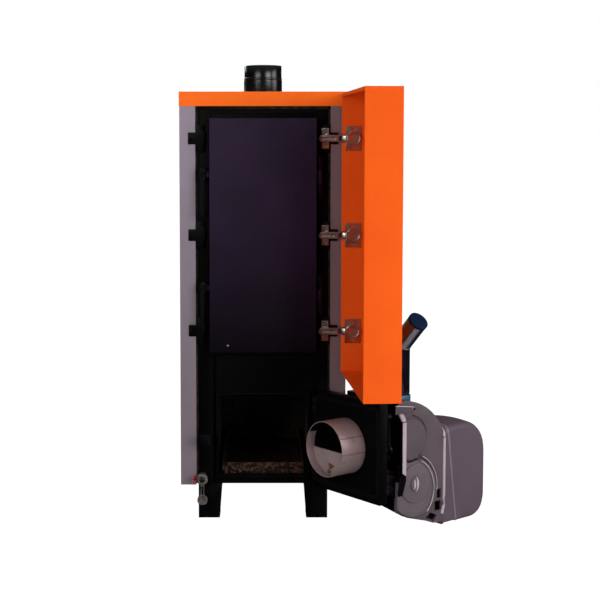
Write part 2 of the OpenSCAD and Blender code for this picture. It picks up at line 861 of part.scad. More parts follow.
module cleaning_door_hinges() {
    color([0.14, 0.12, 0.16]) cleaning_door_frame() for (z = barrel_zs) difference() {
        union() {
            translate([0, 0, z + knuckle_l + gap]) cylinder(r = barrel_r, h = knuckle_l - 2 * gap);
            block([0, -barrel_leaf_t / 2, z + knuckle_l + gap],
                [inner_near, barrel_leaf_t / 2, z + 2 * knuckle_l - gap]);
        }
        translate([0, 0, z + knuckle_l - over]) cylinder(r = barrel_pin_r + play, h = knuckle_l + 2 * over);
    }
}

tab_face = inner_face - tab_drop;

module cleaning_door_tabs() {
    color([0.14, 0.12, 0.16]) cleaning_door_frame() for (z = [latch_low_z, latch_high_z])
        block([inner_far, tab_face - tab_t, z - tab_h / 2], [inner_far + tab_out, tab_face, z + tab_h / 2]);
}

// Latches turn on a stud on the left upright
latch_y = inner_pin_y - tab_face - gap;
latch_boss_r = 9;
latch_stud_out = 3;
latch_foot_in = 5;
latch_foot_out = 8;
latch_foot_h = 32;

module latch_brackets() {
    color([0.1, 0.09, 0.11]) for (z = [latch_low_z, latch_high_z]) {
        block([latch_x - latch_foot_in, latch_y + gap, z - latch_foot_h / 2],
            [latch_x + latch_foot_out, upright_y, z + latch_foot_h / 2]);
        translate([latch_x, latch_y - latch_t - latch_stud_out, z])
            rod_y(latch_pin_r, latch_t + latch_stud_out + gap);
    }
}

lobe_l = 17;
lobe_w = 8;
lobe_turn = 55;
latch_arm_w = 10;
latch_arm_t = 4;
latch_grip_r = 6;
latch_grip_h = 16;
latch_grip_out = 14;

// The handle hangs down, and its short lobe turns over the door's tab
module latch(z) {
    grip_z = latch_grip_h - latch_l;
    color([0.09, 0.08, 0.1]) translate([latch_x, latch_y - latch_t, z]) difference() {
        union() {
            rod_y(latch_boss_r, latch_t);
            rotate([0, -lobe_turn, 0]) block([0, 0, -lobe_w / 2], [lobe_l, latch_t, lobe_w / 2]);
            block([-latch_arm_w / 2, 0, -latch_l], [latch_arm_w / 2, latch_arm_t, 0]);
            translate([0, 0, grip_z]) rod_y(latch_grip_r, latch_arm_t);
            block([-latch_arm_w / 2, -latch_grip_out, -latch_l], [latch_arm_w / 2, 0, grip_z]);
        }
        translate([0, -over, 0]) rod_y(latch_pin_r + play, latch_t + 2 * over);
    }
}

module latch_upper() latch(latch_high_z);

module latch_lower() latch(latch_low_z);

// Burner door

burner_barrel_l = 42;
burner_barrel_in = 22;
burner_leaf_w = 3;
burner_leaf_t = 6;
burner_barrel_zs = [burner_bottom + burner_barrel_in, burner_top - burner_barrel_in - burner_barrel_l];

module burner_door_posts() {
    color([0.1, 0.09, 0.11]) for (z = burner_barrel_zs) {
        translate([burner_pin_x, burner_pin_y, z]) cylinder(r = burner_barrel_r, h = burner_barrel_l / 2);
        block([burner_pin_x, burner_pin_y, z],
            [burner_pin_x + burner_barrel_r + burner_leaf_w, upright_y, z + burner_barrel_l / 2]);
        translate([burner_pin_x, burner_pin_y, z]) cylinder(r = burner_pin_r, h = burner_barrel_l);
    }
}

module burner_door_hinges() {
    color([0.1, 0.09, 0.11]) burner_frame() for (z = burner_barrel_zs) difference() {
        union() {
            translate([0, 0, z + burner_barrel_l / 2 + gap])
                cylinder(r = burner_barrel_r, h = burner_barrel_l / 2 - gap);
            block([0, -burner_leaf_t / 2, z + burner_barrel_l / 2 + gap],
                [burner_edge + burner_leaf_w, burner_leaf_t / 2, z + burner_barrel_l]);
        }
        translate([0, 0, z]) cylinder(r = burner_pin_r + play, h = burner_barrel_l + over);
    }
}

// The burner door's latch turns on a stud at the door's free side
lever_in = 12;
lever_x = burner_far - lever_in;
lever_up = 4;
lever_z = tube_z + lever_up;
lever_t = 8;
lever_w = 10;
lever_off = 8;
lever_y = burner_face + lever_off;
lever_l = 84;
lever_tail = 26;
lever_boss_r = 14;
lever_stud_r = 10;
lever_pin_r = 4;
lever_pin_out = 2;
knob_r = 11;
barrel_cut = 10;
board_in = 12;

module burner_door_pan() {
    color([0.08, 0.07, 0.08]) burner_frame() difference() {
        union() {
            block([burner_edge, burner_back, burner_bottom], [burner_far, burner_face, burner_top]);
            translate([lever_x, burner_face, lever_z]) {
                rod_y(lever_stud_r, lever_off - gap);
                rod_y(lever_pin_r, lever_off + lever_t + lever_pin_out);
            }
        }
        block([burner_edge + burner_sheet, burner_back - over, burner_bottom + burner_sheet],
            [burner_far - burner_sheet, burner_face - burner_sheet, burner_top - burner_sheet]);
        translate([tube_x, burner_back, tube_z]) rod_y(tube_r + gap, burner_t + over);
        for (z = burner_barrel_zs) block([burner_edge - over, burner_back - over, z - gap],
            [burner_edge + burner_sheet + over, barrel_cut, z + burner_barrel_l + gap]);
    }
}

module burner_door_insulation() {
    color([0.7, 0.66, 0.58]) burner_frame() difference() {
        block([burner_edge + burner_sheet + board_in, burner_back + burner_rim, burner_bottom + burner_sheet],
            [burner_far - burner_sheet, burner_face - burner_sheet, burner_top - burner_sheet]);
        translate([tube_x, burner_back, tube_z]) rod_y(tube_r + gap, burner_t + over);
    }
}

module burner_door_seal() {
    color([0.36, 0.34, 0.33]) burner_frame() seal_frame(
        burner_back - seal_out + gap, burner_back + burner_rim, burner_pin_x, mouth_bottom, mouth_top);
}

// Burner: flange, tube, casting, fan, hood and feed

neck_w = 12;
neck_r = tube_r + neck_w;
flange_half = 95;
flange_t = 8;

module burner_flange() {
    color([0.6, 0.58, 0.57]) burner_frame() difference() {
        union() {
            block([tube_x - flange_half, burner_face, tube_z - flange_half],
                [tube_x + flange_half, burner_face + flange_t, tube_z + flange_half]);
            translate([tube_x, burner_face, tube_z]) rod_y(neck_r, cast_start - burner_face);
        }
        translate([tube_x, burner_face - over, tube_z])
            rod_y(tube_r + gap, cast_start - burner_face + 2 * over);
    }
}

module burner_tube() {
    color([0.62, 0.57, 0.55]) burner_frame() translate([tube_x, tube_start, tube_z]) difference() {
        rod_y(tube_r, cast_start - tube_start);
        translate([0, -over, 0]) rod_y(tube_r - tube_wall, cast_start - tube_start + 2 * over);
    }
}

grate_back = 22;
grate_t = 4;
grate_top = 6;
igniter_drop = 30;
igniter_r = 5;
igniter_hole_r = 6;

// A half-moon plate closes the lower part of the tube and carries the igniter
module burner_grate() {
    start = tube_start + grate_back;
    color([0.55, 0.48, 0.46]) burner_frame() translate([tube_x, start, tube_z]) difference() {
        rod_y(tube_r - tube_wall - play, grate_t);
        block([-tube_r, -over, grate_top], [tube_r, grate_t + over, tube_r]);
        translate([0, -over, -igniter_drop]) rod_y(igniter_hole_r, grate_t + 2 * over);
    }
}

module igniter() {
    start = tube_start + grate_back + grate_t / 2;
    color([0.55, 0.3, 0.15]) burner_frame() translate([tube_x, start, tube_z - igniter_drop])
        rod_y(igniter_r, cast_start - start);
}

// The casting's outline from its side, and the fan's chamber
sole_drop = [182, 216];
sole_x = [98, 195];
sole_start = [sole_x[0], tube_z - sole_drop[0]];
sole_end = [sole_x[1], tube_z - sole_drop[1]];
dome_drop = 44.5;
cast_dome_z = tube_z - dome_drop;
cast_dome_r = 167.5;
cast_dome_in = 10;
cast_top = cast_dome_z + cast_dome_r;
fan_x = 119;
fan_drop = 93;
fan_z = tube_z - fan_drop;
wheel_w = 34;
wheel_room = 3;
motor_r = 30;
motor_l = 60;
shaft_r = 4;
shaft_short = 4;
inlet_y = 182;
pipe_rise = 44;
pipe_low = tube_z + pipe_rise;
collar_rise = 86;
collar_low = tube_z + collar_rise;
collar_h = 26;
collar_wall = 5;
pipe_collar_r = pipe_r + collar_wall;
seat_wall = 3;

side_dome_x = 104;
side_dome_rise = 23;
side_dome_z = tube_z + side_dome_rise;
side_dome_r = 60;
side_dome_h = 12;
side_dome_top_r = 50;
rib_x = 82;
rib_out = 13;
rib_in = 5;
rib_drop = 84;
rib_rise = 73;
rib_low = tube_z - rib_drop;
rib_high = tube_z + rib_rise;
rib_slant = [18, 24];
plate_x = [52, 122];
plate_rise = 92;
plate_z = tube_z + plate_rise;
plate_h = [22, 12];
plate_out = 4;
lug_x = 116;
lug_rise = 99;
lug_z = tube_z + lug_rise;
lug_r = 8;
lug_hole_r = 3.5;
rim_r = 97;
rim_w = 4;
rim_h = 5;
rim_x = 140;
slot_cuts = [
    [[206, -148], [220, -148], [220, -124], [206, -124]],
    [[198, -181], [220, -181], [220, -155], [198, -155]],
    [[155, -206], [182, -182], [207, -193], [193, -214]]];

module cast_outline(inset) {
    difference() {
        union() {
            intersection() {
                translate([cast_start + cast_dome_in, cast_dome_z]) circle(r = cast_dome_r - inset, $fn = 96);
                translate([cast_start, cast_dome_z]) square([hood_start - cast_start, cast_dome_r]);
            }
            translate([cast_start, fan_z]) square([hood_start - cast_start, cast_dome_z - fan_z]);
            translate([fan_x, fan_z]) circle(r = fan_r - inset, $fn = 96);
            polygon([[sole_start.x, fan_z], [sole_start.x, sole_start.y + inset],
                [sole_end.x, sole_end.y + inset], [hood_start, sole_end.y + inset], [hood_start, fan_z]]);
        }
        translate([-fan_r, 0]) square([fan_r + cast_start + inset, cast_top]);
    }
}

// Turns an outline drawn in depth and height so that it runs across the burner
module across(x0, x1) {
    translate([x1, 0, 0]) rotate([90, 0, -90]) mirror([1, 0, 0]) linear_extrude(x1 - x0) children();
}

scroll_in = cast_far - cast_wall - wheel_w - 2 * wheel_room;

// The casting's flange edge, its top plate with a lug, the dome and the scroll's rim on its free side
module casting_trim() {
    upright_plate(cast_start, rib_x) polygon([
        [cast_far - rib_in, rib_low], [cast_far + rib_out, rib_low], [cast_far + rib_out, rib_high],
        [cast_far + rib_out - rib_slant.x, rib_high + rib_slant.y]]);
    across(cast_far - cast_wall, cast_far + plate_out) polygon([
        [plate_x[0], plate_z], [plate_x[0], plate_z + plate_h[0]],
        [plate_x[1], plate_z + plate_h[1]], [plate_x[1], plate_z]]);
    translate([cast_far - cast_wall, lug_x, lug_z]) rod_x(lug_r, cast_wall + plate_out);
    intersection() {
        translate([cast_far - over, side_dome_x, side_dome_z]) rotate([0, 90, 0])
            cylinder(r1 = side_dome_r, r2 = side_dome_top_r, h = side_dome_h + over);
        block([cast_far - over, rib_x - over, side_dome_z - side_dome_r],
            [cast_far + side_dome_h, hood_start, side_dome_z + side_dome_r]);
    }
    difference() {
        translate([cast_far - over, fan_x + cover_shift.x, fan_z + cover_shift.y]) rod_x(rim_r, rim_h + over);
        translate([cast_far - 2 * over, fan_x + cover_shift.x, fan_z + cover_shift.y])
            rod_x(rim_r - rim_w, rim_h + 3 * over);
        block([cast_far - 2 * over, -rim_r, 0], [cast_far + rim_h + over, rim_x, cast_top]);
        block([cast_far - 2 * over, 0, 0], [cast_far + rim_h + over, cast_top, tube_z + slot_cuts[0][2].y]);
    }
}

// A hollow casting, open towards the hood, with the fan's scroll cast inside its free side
module burner_casting() {
    color([0.55, 0.52, 0.53]) burner_frame() difference() {
        union() {
            difference() {
                across(cast_near, cast_far) cast_outline(0);
                difference() {
                    across(cast_near + cast_wall, cast_far - cast_wall) cast_outline(cast_wall);
                    translate([scroll_in - cast_wall, fan_x, fan_z])
                        rod_x(wheel_r + wheel_room + cast_wall, cast_far - scroll_in);
                }
                translate([scroll_in, fan_x, fan_z]) rod_x(wheel_r + wheel_room, cast_far - scroll_in + over);
            }
            translate([tube_x, inlet_y, pipe_low])
                cylinder(r = pipe_collar_r + seat_wall, h = collar_low - pipe_low);
            casting_trim();
        }
        translate([tube_x, inlet_y, collar_low]) cylinder(r = pipe_collar_r + gap, h = cast_top);
        translate([scroll_in - cast_wall - over, fan_x, fan_z]) rod_x(motor_r / 2, cast_wall + 2 * over);
        translate([tube_x, cast_start - over, tube_z]) rod_y(tube_r - tube_wall, cast_wall + 2 * over);
        translate([tube_x, inlet_y, pipe_low - over]) cylinder(r = pipe_r + play, h = cast_top);
        translate([cast_far - cast_wall - over, lug_x, lug_z])
            rod_x(lug_hole_r, cast_wall + plate_out + 2 * over);
        for (cut = slot_cuts) across(cast_far - cast_wall - over, cast_far + over)
            translate([0, tube_z]) polygon(cut);
    }
}

module fan_motor() {
    color([0.2, 0.2, 0.21]) burner_frame() translate([scroll_in - cast_wall - motor_l, fan_x, fan_z]) {
        rod_x(motor_r, motor_l);
        rod_x(shaft_r, motor_l + cast_wall + wheel_room + wheel_w - shaft_short);
    }
}

blade_count = 12;
blade_t = 2;
blade_sweep = 12;
disc_t = 2;
hub_r = 14;
hub_short = 6;

module fan_wheel() {
    color([0.35, 0.34, 0.34]) burner_frame() translate([scroll_in + wheel_room, fan_x, fan_z]) difference() {
        union() {
            rod_x(wheel_r, disc_t);
            rod_x(hub_r, wheel_w - hub_short);
            for (i = [0:blade_count - 1]) rotate([i * 360 / blade_count, 0, 0])
                translate([0, hub_r - over, 0]) rotate([blade_sweep, 0, 0])
                    cube([wheel_w - shaft_short, wheel_r - hub_r - blade_t, blade_t]);
        }
        translate([-over, 0, 0]) rod_x(shaft_r + play, wheel_w + 2 * over);
    }
}

cover_in = 4;
cover_t = 8;
cover_edge_w = 4;
cover_step = 3;
cover_r = 86;
cover_shift = [-14, -20];
cover_start = 44;
cover_disc_r = 50;
cover_hub_r = 20;

module cover_shape(inset, h) {
    intersection() {
        rod_x(fan_r - cover_in - inset, h);
        translate([0, cover_shift.x, cover_shift.y]) rod_x(cover_r - inset, h);
        block([0, cover_start - fan_x + inset, -fan_r], [h, fan_r, fan_r]);
    }
}

// A cover with a raised edge follows the scroll, whose radius grows towards its outlet
module fan_cover() {
    color([0.5, 0.47, 0.48]) burner_frame() translate([cast_far, fan_x, fan_z]) difference() {
        union() {
            cover_shape(0, cover_t);
            difference() {
                cover_shape(0, cover_t + cover_step);
                translate([-over, 0, 0]) cover_shape(cover_edge_w, cover_t + cover_step + 2 * over);
            }
            rod_x(cover_disc_r, cover_t + cover_step);
            rod_x(cover_hub_r, 2 * cover_t);
        }
        block([-over, cast_start - fan_x - gap, rib_low - fan_z - gap],
            [2 * cover_t + over, rib_x - fan_x + gap, fan_r]);
        translate([-over, side_dome_x - fan_x, side_dome_z - fan_z]) rod_x(side_dome_r + gap, fan_r);
    }
}

hood_drop = 220;
hood_rise = 39;
hood_low = tube_z - hood_drop;
hood_high = tube_z + hood_rise;
hood_near_reach = 89;
hood_far_reach = 121;

module hood_outline(inset) {
    low = hood_low + inset;
    high = hood_high - inset;
    end = hood_end - inset;
    top_r = hood_top_r - inset;
    low_r = hood_low_r - inset;
    intersection() {
        union() {
            translate([hood_start, low]) square([end - hood_start - top_r, high - low]);
            translate([hood_start, low + low_r]) square([end - hood_start, high - low - low_r - top_r]);
            translate([end - top_r, high - top_r]) circle(r = top_r, $fn = 96);
            translate([end - low_r, low + low_r]) circle(r = low_r, $fn = 96);
            translate([hood_start, low]) square([end - hood_start - low_r, low_r]);
        }
        translate([hood_start + inset, 0]) square([hood_end, cast_top]);
    }
}

// The hood is closed towards the casting apart from the air's way through
module burner_hood() {
    color([0.33, 0.28, 0.31]) burner_frame() difference() {
        across(tube_x - hood_near_reach, tube_x + hood_far_reach) hood_outline(0);
        across(tube_x - hood_near_reach + hood_wall, tube_x + hood_far_reach - hood_wall)
            hood_outline(hood_wall);
        block([cast_near + cast_wall, hood_start - over, sole_end.y + cast_wall],
            [cast_far - cast_wall, hood_start + hood_wall + over, cast_dome_z]);
    }
}

// The feed pipe stands on the casting and leans over to its capped inlet, turned down to take a hose
bend_rise = 210;
pipe_bend_z = tube_z + bend_rise;
pipe_arm_l = 118;
hose_l = 100;
hose_step = 0.4;
hose_r = pipe_r - hose_step;
cap_lid_t = 4;
cap_plug_l = 14;

module feed_pipe() {
    color([0.35, 0.12, 0.11]) burner_frame() translate([tube_x, inlet_y, 0]) difference() {
        union() {
            translate([0, 0, pipe_low]) cylinder(r = pipe_r, h = pipe_bend_z - pipe_low);
            translate([0, 0, pipe_bend_z]) sphere(r = pipe_r);
            translate([0, 0, pipe_bend_z]) rotate([-pipe_lean, 0, 0]) {
                cylinder(r = pipe_r, h = pipe_arm_l - hose_l);
                cylinder(r = hose_r, h = pipe_arm_l);
            }
        }
        translate([0, 0, pipe_low - over])
            cylinder(r = pipe_r - pipe_wall, h = pipe_bend_z - pipe_low + over);
        translate([0, 0, pipe_bend_z]) sphere(r = pipe_r - pipe_wall);
        translate([0, 0, pipe_bend_z]) rotate([-pipe_lean, 0, 0])
            cylinder(r = pipe_r - pipe_wall, h = pipe_arm_l + over);
    }
}

module pipe_collar() {
    color([0.3, 0.42, 0.45]) burner_frame() translate([tube_x, inlet_y, collar_low]) difference() {
        cylinder(r = pipe_collar_r, h = collar_h);
        translate([0, 0, -over]) cylinder(r = pipe_r + play, h = collar_h + 2 * over);
    }
}

module pipe_cap() {
    color([0.1, 0.12, 0.28]) burner_frame() translate([tube_x, inlet_y, pipe_bend_z])
        rotate([-pipe_lean, 0, 0]) translate([0, 0, pipe_arm_l]) {
            cylinder(r = hose_r - hose_step, h = cap_lid_t);
            translate([0, 0, -cap_plug_l]) cylinder(r = pipe_r - pipe_wall - play, h = cap_plug_l);
        }
}

// A lever with a ball knob turns down behind the keeper's lip and holds the burner door shut
module burner_latch() {
    color([0.07, 0.06, 0.07]) burner_frame() translate([lever_x, lever_y, lever_z]) {
        difference() {
            union() {
                rod_y(lever_boss_r, lever_t);
                block([-lever_w / 2, 0, -lever_tail], [lever_w / 2, lever_t, lever_l]);
            }
            translate([0, -over, 0]) rod_y(lever_pin_r + play, lever_t + 2 * over);
        }
        translate([0, lever_t / 2, lever_l]) sphere(r = knob_r);
    }
}

keeper_h = 18;
keeper_lip_h = 30;
keeper_lip_t = 4;
keeper_in = 4;

module burner_keeper() {
    keeper_y = burner_pin_y - lever_y - lever_t - gap;
    keeper_low = lever_z - lever_w / 2 - gap - keeper_h;
    keeper_x = -channel_half - keeper_in;
    color([0.1, 0.09, 0.11]) {
        block([-upright_edge, keeper_y, keeper_low], [keeper_x, upright_y, keeper_low + keeper_h]);
        block([-upright_edge, keeper_y - keeper_lip_t, keeper_low],
            [keeper_x, keeper_y, keeper_low + keeper_lip_h]);
    }
}

// Ash tray on the furnace floor, drawn out through the mouth
tray_side = 8;
tray_half = mouth_half - tray_side;
tray_h = 30;
tray_t = 2;
tray_low = floor_top + gap;
tray_front_room = 4;
tray_rear_room = 20;
tray_y0 = plate_back + tray_front_room;
tray_y1 = bay_back - brick_t - tray_rear_room;

module ash_tray() {
    color([0.3, 0.28, 0.28]) difference() {
        block([-tray_half, tray_y0, tray_low], [tray_half, tray_y1, tray_low + tray_h]);
        block([-tray_half + tray_t, tray_y0 + tray_t, tray_low + tray_t],
            [tray_half - tray_t, tray_y1 - tray_t, tray_low + tray_h + over]);
    }
}

legs();
vessel_front();
vessel_jacket_left();
vessel_jacket_right();
vessel_jacket_rear();
vessel_floor();
vessel_top();
furnace_ceiling();
flue_shelves();
exchanger_collar();
furnace_collar();
furnace_lining();
insulation();
side_panel_left();
side_panel_right();
back_panel();
top_cover();
flue_spigot();
flow_stub();
return_stub();
sensor_pocket();
drain_valve();
drain_handle();
drain_cap();
hinge_brackets();
hinge_plates();
hinge_arms();
hinge_links();
hinge_cups();
outer_door_shell();
cleaning_door_posts();
cleaning_door_hinges();
cleaning_door_panel();
cleaning_door_insulation();
cleaning_door_seal();
cleaning_door_tabs();
latch_brackets();
latch_upper();
latch_lower();
burner_door_posts();
burner_door_hinges();
burner_door_pan();
burner_door_insulation();
burner_door_seal();
burner_flange();
burner_tube();
burner_grate();
igniter();
burner_casting();
fan_cover();
fan_motor();
fan_wheel();
burner_hood();
feed_pipe();
pipe_collar();
pipe_cap();
burner_latch();
burner_keeper();
ash_tray();
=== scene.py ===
import json
import math

import bmesh
import bpy
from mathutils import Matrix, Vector


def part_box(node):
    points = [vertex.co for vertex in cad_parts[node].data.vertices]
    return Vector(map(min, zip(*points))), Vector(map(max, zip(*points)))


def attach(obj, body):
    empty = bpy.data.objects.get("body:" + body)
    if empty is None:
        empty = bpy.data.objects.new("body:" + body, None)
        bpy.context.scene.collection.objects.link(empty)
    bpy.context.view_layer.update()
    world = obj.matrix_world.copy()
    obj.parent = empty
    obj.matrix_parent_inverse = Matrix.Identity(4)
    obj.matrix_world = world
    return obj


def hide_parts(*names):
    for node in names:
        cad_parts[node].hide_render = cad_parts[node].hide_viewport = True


print("Loading the frame")
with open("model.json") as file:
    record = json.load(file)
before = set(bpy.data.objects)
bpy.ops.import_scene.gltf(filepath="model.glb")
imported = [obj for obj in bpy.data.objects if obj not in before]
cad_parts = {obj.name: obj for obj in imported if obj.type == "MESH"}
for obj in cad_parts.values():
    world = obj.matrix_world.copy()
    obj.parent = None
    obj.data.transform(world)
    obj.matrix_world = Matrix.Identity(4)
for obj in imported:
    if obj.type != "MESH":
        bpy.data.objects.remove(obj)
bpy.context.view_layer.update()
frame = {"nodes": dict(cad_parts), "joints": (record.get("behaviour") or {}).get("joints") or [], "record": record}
record = frame["record"]
mm = 0.001


# Camera, lights, floor

shot = {
    "place": (0.0, -3.744, 1.0),
    "pitch": 4.5,
    "focalPixels": 1320,
    "centrePixels": (263, 249),
    "framePixels": 600,
    "sensor": 36.0,
}
studio = {
    "worldLight": 0.3,
    "darkRoom": 0.02,
    "ceiling": 0.3,
    "left": ((-2.3, -3.5, 1.5), 2.1, 50),
    "right": ((2.3, -3.5, 1.5), 2.1, 80),
    "side": ((3.4, -0.9, 1.5), 1.8, 34),
    "rear": ((-1.5, 3.4, 3.0), 2.4, 60),
    "floorReach": 30.0,
    "floorGlow": 0.92,
    "floorWhite": 1.12,
}


def makeCamera():
    data = bpy.data.cameras.new("camera")
    half = shot["framePixels"] / 2
    data.sensor_width = shot["sensor"]
    data.lens = shot["focalPixels"] * shot["sensor"] / shot["framePixels"]
    data.shift_x = (half - shot["centrePixels"][0]) / shot["framePixels"]
    data.shift_y = (shot["centrePixels"][1] - half) / shot["framePixels"]
    data.clip_end = 100
    camera = bpy.data.objects.new("camera", data)
    camera.location = shot["place"]
    camera.rotation_euler = (math.radians(90 - shot["pitch"]), 0, 0)
    bpy.context.scene.collection.objects.link(camera)
    bpy.context.scene.camera = camera


def makeLamp(name, place, size, power):
    data = bpy.data.lights.new(name, "AREA")
    data.size = size
    data.energy = power
    lamp = bpy.data.objects.new(name, data)
    lamp.location = place
    aim = Vector((0.05, -0.3, 0.62)) - Vector(place)
    lamp.rotation_mode = "QUATERNION"
    lamp.rotation_quaternion = aim.to_track_quat("-Z", "Y")
    bpy.context.scene.collection.objects.link(lamp)


# Shader building

class Wire:
    # a socket that can stand in a sum
    def __init__(self, finish, socket):
        self.finish = finish
        self.socket = socket

    def sum(self, operation, *values):
        return self.finish.add("ShaderNodeMath", {"operation": operation}, dict(enumerate(values)))

    def __add__(self, other):
        return self.sum("ADD", self, other)

    def __sub__(self, other):
        return self.sum("SUBTRACT", self, other)

    def __rsub__(self, other):
        return self.sum("SUBTRACT", other, self)

    def __mul__(self, other):
        return self.sum("MULTIPLY", self, other)

    def clip(self, low, high):
        # 0 below low, 1 above high, even between
        return self.finish.add("ShaderNodeMapRange", {}, {0: self, 1: low, 2: high, 3: 0.0, 4: 1.0})


def tint(red, green, blue):
    # a colour picked as it looks on screen
    def light(part):
        part /= 255
        return part / 12.92 if part <= 0.04045 else ((part + 0.055) / 1.055) ** 2.4
    return (light(red), light(green), light(blue), 1.0)


class Finish:
    def __init__(self, name, roughness=0.5, metallic=0.0, coat=0.0):
        self.material = bpy.data.materials.new(name)
        self.material.use_nodes = True
        self.tree = self.material.node_tree
        self.tree.nodes.clear()
        self.shader = self.tree.nodes.new("ShaderNodeBsdfPrincipled")
        out = self.tree.nodes.new("ShaderNodeOutputMaterial")
        self.tree.links.new(self.shader.outputs[0], out.inputs[0])
        self.set("Roughness", roughness)
        self.set("Metallic", metallic)
        self.set("Coat Weight", coat)
        self.place = self.add("ShaderNodeTexCoord", {}, {}, "Object")

    def plug(self, socket, value):
        if isinstance(value, Wire):
            self.tree.links.new(value.socket, socket)
        else:
            socket.default_value = value

    def set(self, name, value):
        self.plug(self.shader.inputs[name], value)

    def add(self, kind, settings, values, out=0):
        node = self.tree.nodes.new(kind)
        for name, value in settings.items():
            setattr(node, name, value)
        for name, value in values.items():
            self.plug(node.inputs[name], value)
        return Wire(self, node.outputs[out])

    def mix(self, factor, first, second):
        return self.add("ShaderNodeMix", {"data_type": "RGBA"}, {0: factor, 6: first, 7: second}, 2)

    def noise(self, scale, detail=2.0, stretch=None):
        place = self.place
        if stretch:
            place = self.add("ShaderNodeVectorMath", {"operation": "MULTIPLY"}, {0: place, 1: stretch})
        return self.add("ShaderNodeTexNoise", {}, {"Vector": place, "Scale": scale, "Detail": detail})

    def cells(self, scale, feature="F1"):
        values = {"Vector": self.place, "Scale": scale}
        return self.add("ShaderNodeTexVoronoi", {"feature": feature}, values)

    def axis(self, name):
        return self.add("ShaderNodeSeparateXYZ", {}, {0: self.place}, name)

    def facing(self, name):
        # how far the surface faces an axis of the model
        normal = self.add("ShaderNodeNewGeometry", {}, {}, "Normal")
        return self.add("ShaderNodeSeparateXYZ", {}, {0: normal}, name)

    def bump(self, height, depth):
        self.set("Normal", self.add("ShaderNodeBump", {}, {"Distance": depth, "Height": height}))


# Painted sheet with the fine waviness of powder coat

def powderCoat(
        name, colour, shade, roughness, wave=1.4, coat=0.0, shine=0.5, foot=None, span=None, glint=None):
    finish = Finish(name, coat=coat)
    finish.set("Specular IOR Level", shine)
    peel = finish.noise(1000 / wave, 1.5)
    broad = finish.noise(7, 3)
    dust = finish.noise(90, 4).clip(0.52, 0.75) * finish.facing("Z").clip(0.5, 0.9)
    base = finish.mix(broad.clip(0.3, 0.7), colour, shade)
    if foot:
        # painted shade: darker towards the floor
        base = finish.mix(finish.axis("Z").clip(*span), foot, base)
    if glint:
        # painted highlight: pale where a leaning pipe faces the floor
        down = 0 - finish.facing("Z")
        base = finish.mix(down.clip(0.4, 0.5) - down.clip(0.62, 0.68), base, glint)
    finish.set("Base Color", finish.mix(dust * 0.02, base, tint(170, 165, 160)))
    finish.set("Roughness", finish.noise(25, 3) * 0.14 + roughness - 0.07 + dust * 0.2)
    finish.bump(peel * 0.5 + finish.noise(150, 1.5) * 1.4, 0.16 * mm)
    return finish.material


def nickelPlate():
    finish = Finish("nickel plate", metallic=1.0)
    drawn = finish.noise(900, 2, (0.08, 1, 1))
    marks = finish.noise(60, 4)
    finish.set("Base Color", finish.mix(marks.clip(0.35, 0.7), tint(206, 203, 198), tint(160, 156, 152)))
    finish.set("Roughness", drawn * 0.16 + marks * 0.12 + 0.2)
    finish.bump(drawn, 0.02 * mm)
    return finish.material


def zincPlate():
    finish = Finish("zinc plate", metallic=1.0)
    spangle = finish.cells(260)
    finish.set("Base Color", finish.mix(spangle.clip(0.1, 0.6), tint(190, 188, 184), tint(150, 146, 140)))
    finish.set("Roughness", spangle * 0.2 + 0.3)
    finish.bump(finish.noise(1400, 2), 0.02 * mm)
    return finish.material


def castMetal(name, colour, shade, metallic, roughness, turned=False):
    finish = Finish(name, metallic=metallic)
    sand = finish.noise(520, 3)
    pits = finish.cells(330).clip(0.0, 0.35)
    broad = finish.noise(14, 4)
    base = finish.mix(broad.clip(0.35, 0.7), colour, shade)
    finish.set("Base Color", finish.mix(pits, shade, base))
    finish.set("Roughness", sand * 0.2 + roughness - 0.1)
    rough = sand + pits * 0.5
    if turned:
        # rings left by turning, round the fan's axis
        places = {0: finish.place, 1: tuple(fanHub)}
        away = finish.add("ShaderNodeVectorMath", {"operation": "DISTANCE"}, places, "Value")
        rough = rough * 0.4 + (away * 2400).sum("SINE", away * 2400) * 0.5
    finish.bump(rough, 0.16 * mm)
    return finish.material


def mouldedPlastic(name, colour, shade, roughness, grain=0.9, coat=0.0, shine=0.5):
    finish = Finish(name, coat=coat)
    finish.set("Specular IOR Level", shine)
    leather = finish.cells(1000 / grain, feature="SMOOTH_F1")
    flow = finish.noise(9, 3)
    finish.set("Base Color", finish.mix(flow.clip(0.35, 0.7), colour, shade))
    finish.set("Roughness", flow * 0.12 + roughness - 0.06)
    finish.bump(leather, 0.05 * mm)
    return finish.material


def heatedSteel():
    # stainless sheet, straw and blue where the flame has been
    finish = Finish("heated stainless steel", metallic=0.45)
    turned = finish.noise(420, 2, (1, 1, 0.12))
    cloud = finish.noise(22, 4)
    clean = finish.mix(turned.clip(0.3, 0.7), tint(156, 133, 135), tint(138, 118, 120))
    straw = finish.mix(cloud.clip(0.42, 0.7), clean, tint(150, 125, 120))
    stain = finish.noise(55, 5).clip(0.58, 0.75)
    finish.set("Base Color", finish.mix(stain * 0.4, straw, tint(96, 78, 76)))
    finish.set("Roughness", turned * 0.16 + cloud * 0.14 + 0.34)
    finish.bump(turned, 0.03 * mm)
    return finish.material


def bareSteel(name, colour, rust, roughness=0.36):
    finish = Finish(name)
    spots = finish.noise(120, 5).clip(0.56 - rust * 0.3, 0.8 - rust * 0.25)
    brushed = finish.noise(700, 2, (1, 0.1, 1))
    finish.set("Base Color", finish.mix(spots, colour, tint(104, 58, 32)))
    finish.set("Metallic", 1 - spots * 0.9)
    finish.set("Roughness", brushed * 0.12 + spots * 0.4 + roughness)
    finish.bump(brushed + spots * 2, 0.05 * mm)
    return finish.material


